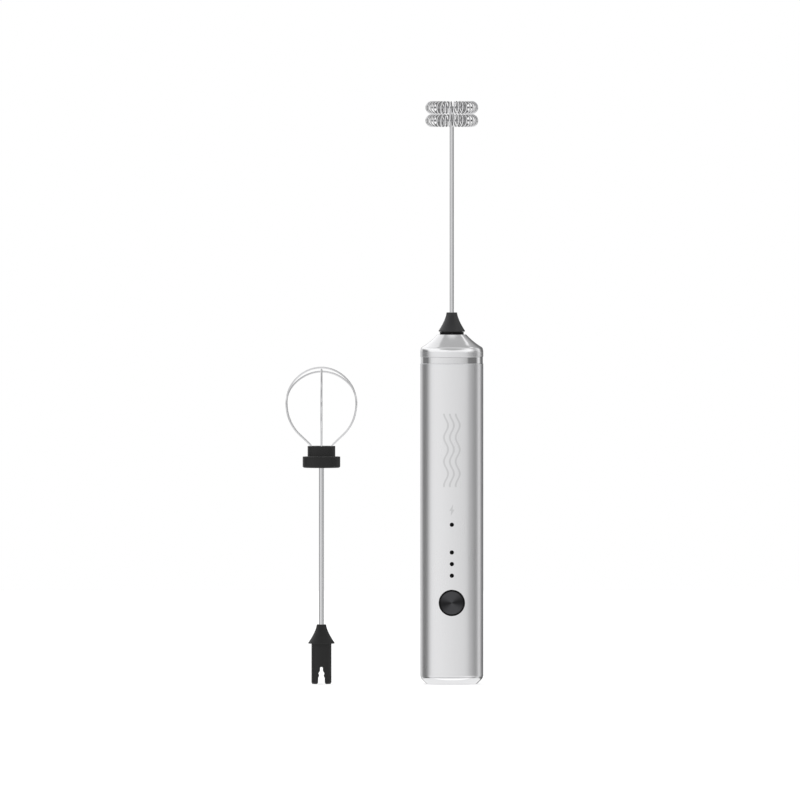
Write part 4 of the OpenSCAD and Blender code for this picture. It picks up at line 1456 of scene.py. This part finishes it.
def studio_light():
    """Soft studio light: pale walls with dark gaps, a dimmer slanted ceiling with one strip, and
    a bright table. The camera sees plain white."""
    world = bpy.data.worlds.new("Studio")
    bpy.context.scene.world = world
    world.use_nodes = True
    tree = world.node_tree
    tree.nodes.clear()
    x, y, z = split(tree, node(tree, "ShaderNodeTexCoord").outputs["Generated"])
    angle = calc(tree, "ARCTAN2", x, calc(tree, "MULTIPLY", y, -1))
    turn = calc(tree, "MULTIPLY_ADD", angle, 1 / TURN, 0.5)
    eye_level, beyond, high = (
        wall_ramp(tree, turn, stops) for stops in (EYE_LEVEL, BEYOND, HIGH)
    )
    walls = mix(tree, ease(tree, calc(tree, "ABSOLUTE", z), 0.05, 0.17), eye_level, beyond)
    # the high walls start lower down on the left, and dim towards the top
    left = remap(tree, x, 0.1, -0.1, 0, 1)
    high_from = remap(tree, left, 0, 1, 0.32, 0.1)
    high_to = remap(tree, left, 0, 1, 0.7, 0.3)
    high = scaled(tree, high, remap(tree, z, 0.42, 0.82, 1.16, 0.88))
    walls = mix(tree, ease(tree, z, high_from, high_to), walls, high)
    # the ceiling lies above one slanted plane and to the right of another
    above = calc(tree, "SUBTRACT", z, calc(tree, "MULTIPLY_ADD", y, 0.33, 0.61))
    right = calc(tree, "MULTIPLY_ADD", y, -0.61, calc(tree, "MULTIPLY_ADD", z, 0.68, x))
    ceiling = product(tree, ease(tree, above, -0.02, 0.02), ease(tree, right, -0.03, 0.03))
    overhead = product(tree, ease(tree, y, 0.12, -0.08), ease(tree, y, -0.45, -0.3))
    lit = mix(tree, ceiling, walls, mix(tree, overhead, grey(0.5), grey(0.95)))
    # one bright strip in the ceiling, on the right and towards the back
    off_strip = calc(tree, "ABSOLUTE", calc(tree, "SUBTRACT", z, 0.745))
    strip = product(
        tree,
        ease(tree, off_strip, 0.025, 0.055, 1, 0),
        ease(tree, x, 0.26, 0.33),
        ease(tree, y, 0.1, 0.25),
    )
    lit = mix(tree, strip, lit, grey(1.1))
    # the walls dim towards the table, which is brightest in front
    lit = scaled(tree, lit, ease(tree, z, -0.25, -0.55, 1, 0.78))
    under = calc(tree, "SUBTRACT", calc(tree, "MULTIPLY_ADD", y, 0.3, -0.585), z)
    table = scaled(tree, (1, 1, 1), ease(tree, y, -0.2, -0.02, 1.25, 0.97))
    lit = mix(tree, ease(tree, under, -0.03, 0.03), lit, table)
    rays = node(tree, "ShaderNodeLightPath").outputs
    lit = mix(tree, rays["Is Diffuse Ray"], lit, grey(1.15))
    lit = mix(tree, rays["Is Camera Ray"], lit, grey(1))
    background = node(tree, "ShaderNodeBackground", {0: lit})
    output = node(tree, "ShaderNodeOutputWorld")
    tree.links.new(background.outputs[0], output.inputs[0])


class FROTHER_OT_studio(bpy.types.Operator):
    """Set up the camera, the pale floor and the soft light"""

    bl_idname = "frother.studio"
    bl_label = "Studio"

    def execute(self, context):
        studio = context.scene.frother_studio
        camera = bpy.data.objects.new("Camera", bpy.data.cameras.new("Camera"))
        context.scene.collection.objects.link(camera)
        context.scene.camera = camera
        back = Vector((0, -math.cos(studio.tilt), math.sin(studio.tilt)))
        camera.data.lens = studio.lens
        camera.data.sensor_width = 36
        camera.data.clip_end = 100
        camera.location = Vector((studio.aim_x, 0, studio.aim_z)) + back * studio.distance
        camera.rotation_euler = (-back).to_track_quat("-Z", "Y").to_euler()
        studio_light()
        floor_r, top, bottom = studio.floor_r, -0.1 * MM, -4 * MM
        corners = [(0, bottom), (floor_r, bottom, MM), (floor_r, top, MM), (0, top)]
        floor = turned_object("floor", rounded(corners), sides=64)
        glow = {"Emission Color": (1, 1, 1, 1), "Emission Strength": studio.floor_glow}
        material = plain_finish(
            "Floor", (0.62, 0.62, 0.62), (0.6, 0.7), (30, 30, 30), 0, 0.005, **glow
        )
        floor.data.materials.append(material)
        floor.visible_glossy = False
        context.scene.view_settings.view_transform = "Standard"
        return {"FINISHED"}


OPERATORS = (
    FROTHER_OT_studio,
    FROTHER_OT_inside,
    FROTHER_OT_tube,
    FROTHER_OT_base,
    FROTHER_OT_nose,
    FROTHER_OT_button,
    FROTHER_OT_lights,
    FROTHER_OT_socket,
    FROTHER_OT_drive,
    FROTHER_OT_plugs,
    FROTHER_OT_shafts,
    FROTHER_OT_coils,
    FROTHER_OT_balloon_hub,
    FROTHER_OT_balloon_loops,
)


class FROTHER_PT_panel(bpy.types.Panel):
    """The sizes and colours, and a button for each piece"""

    bl_idname = "FROTHER_PT_panel"
    bl_label = "Milk Frother"
    bl_space_type = "VIEW_3D"
    bl_region_type = "UI"
    bl_category = "Frother"

    def draw(self, context):
        for name, group in GROUPS.items():
            column = self.layout.column(align=True)
            for key in group.__annotations__:
                column.prop(getattr(context.scene, name), key)
        column = self.layout.column(align=True)
        for operator in OPERATORS:
            column.operator(operator.bl_idname)


CLASSES = (*GROUPS.values(), *OPERATORS, FROTHER_PT_panel)


def register():
    """Registers the add-on's classes and its settings."""
    for cls in CLASSES:
        bpy.utils.register_class(cls)
    for name, group in GROUPS.items():
        setattr(bpy.types.Scene, name, PointerProperty(type=group))


def unregister():
    """Removes what register added."""
    for name in GROUPS:
        delattr(bpy.types.Scene, name)
    for cls in reversed(CLASSES):
        bpy.utils.unregister_class(cls)


def main():
    """Makes every piece in order."""
    register()
    for operator in OPERATORS:
        group, action = operator.bl_idname.split(".")
        getattr(getattr(bpy.ops, group), action)()


if __name__ == "__main__":
    main()
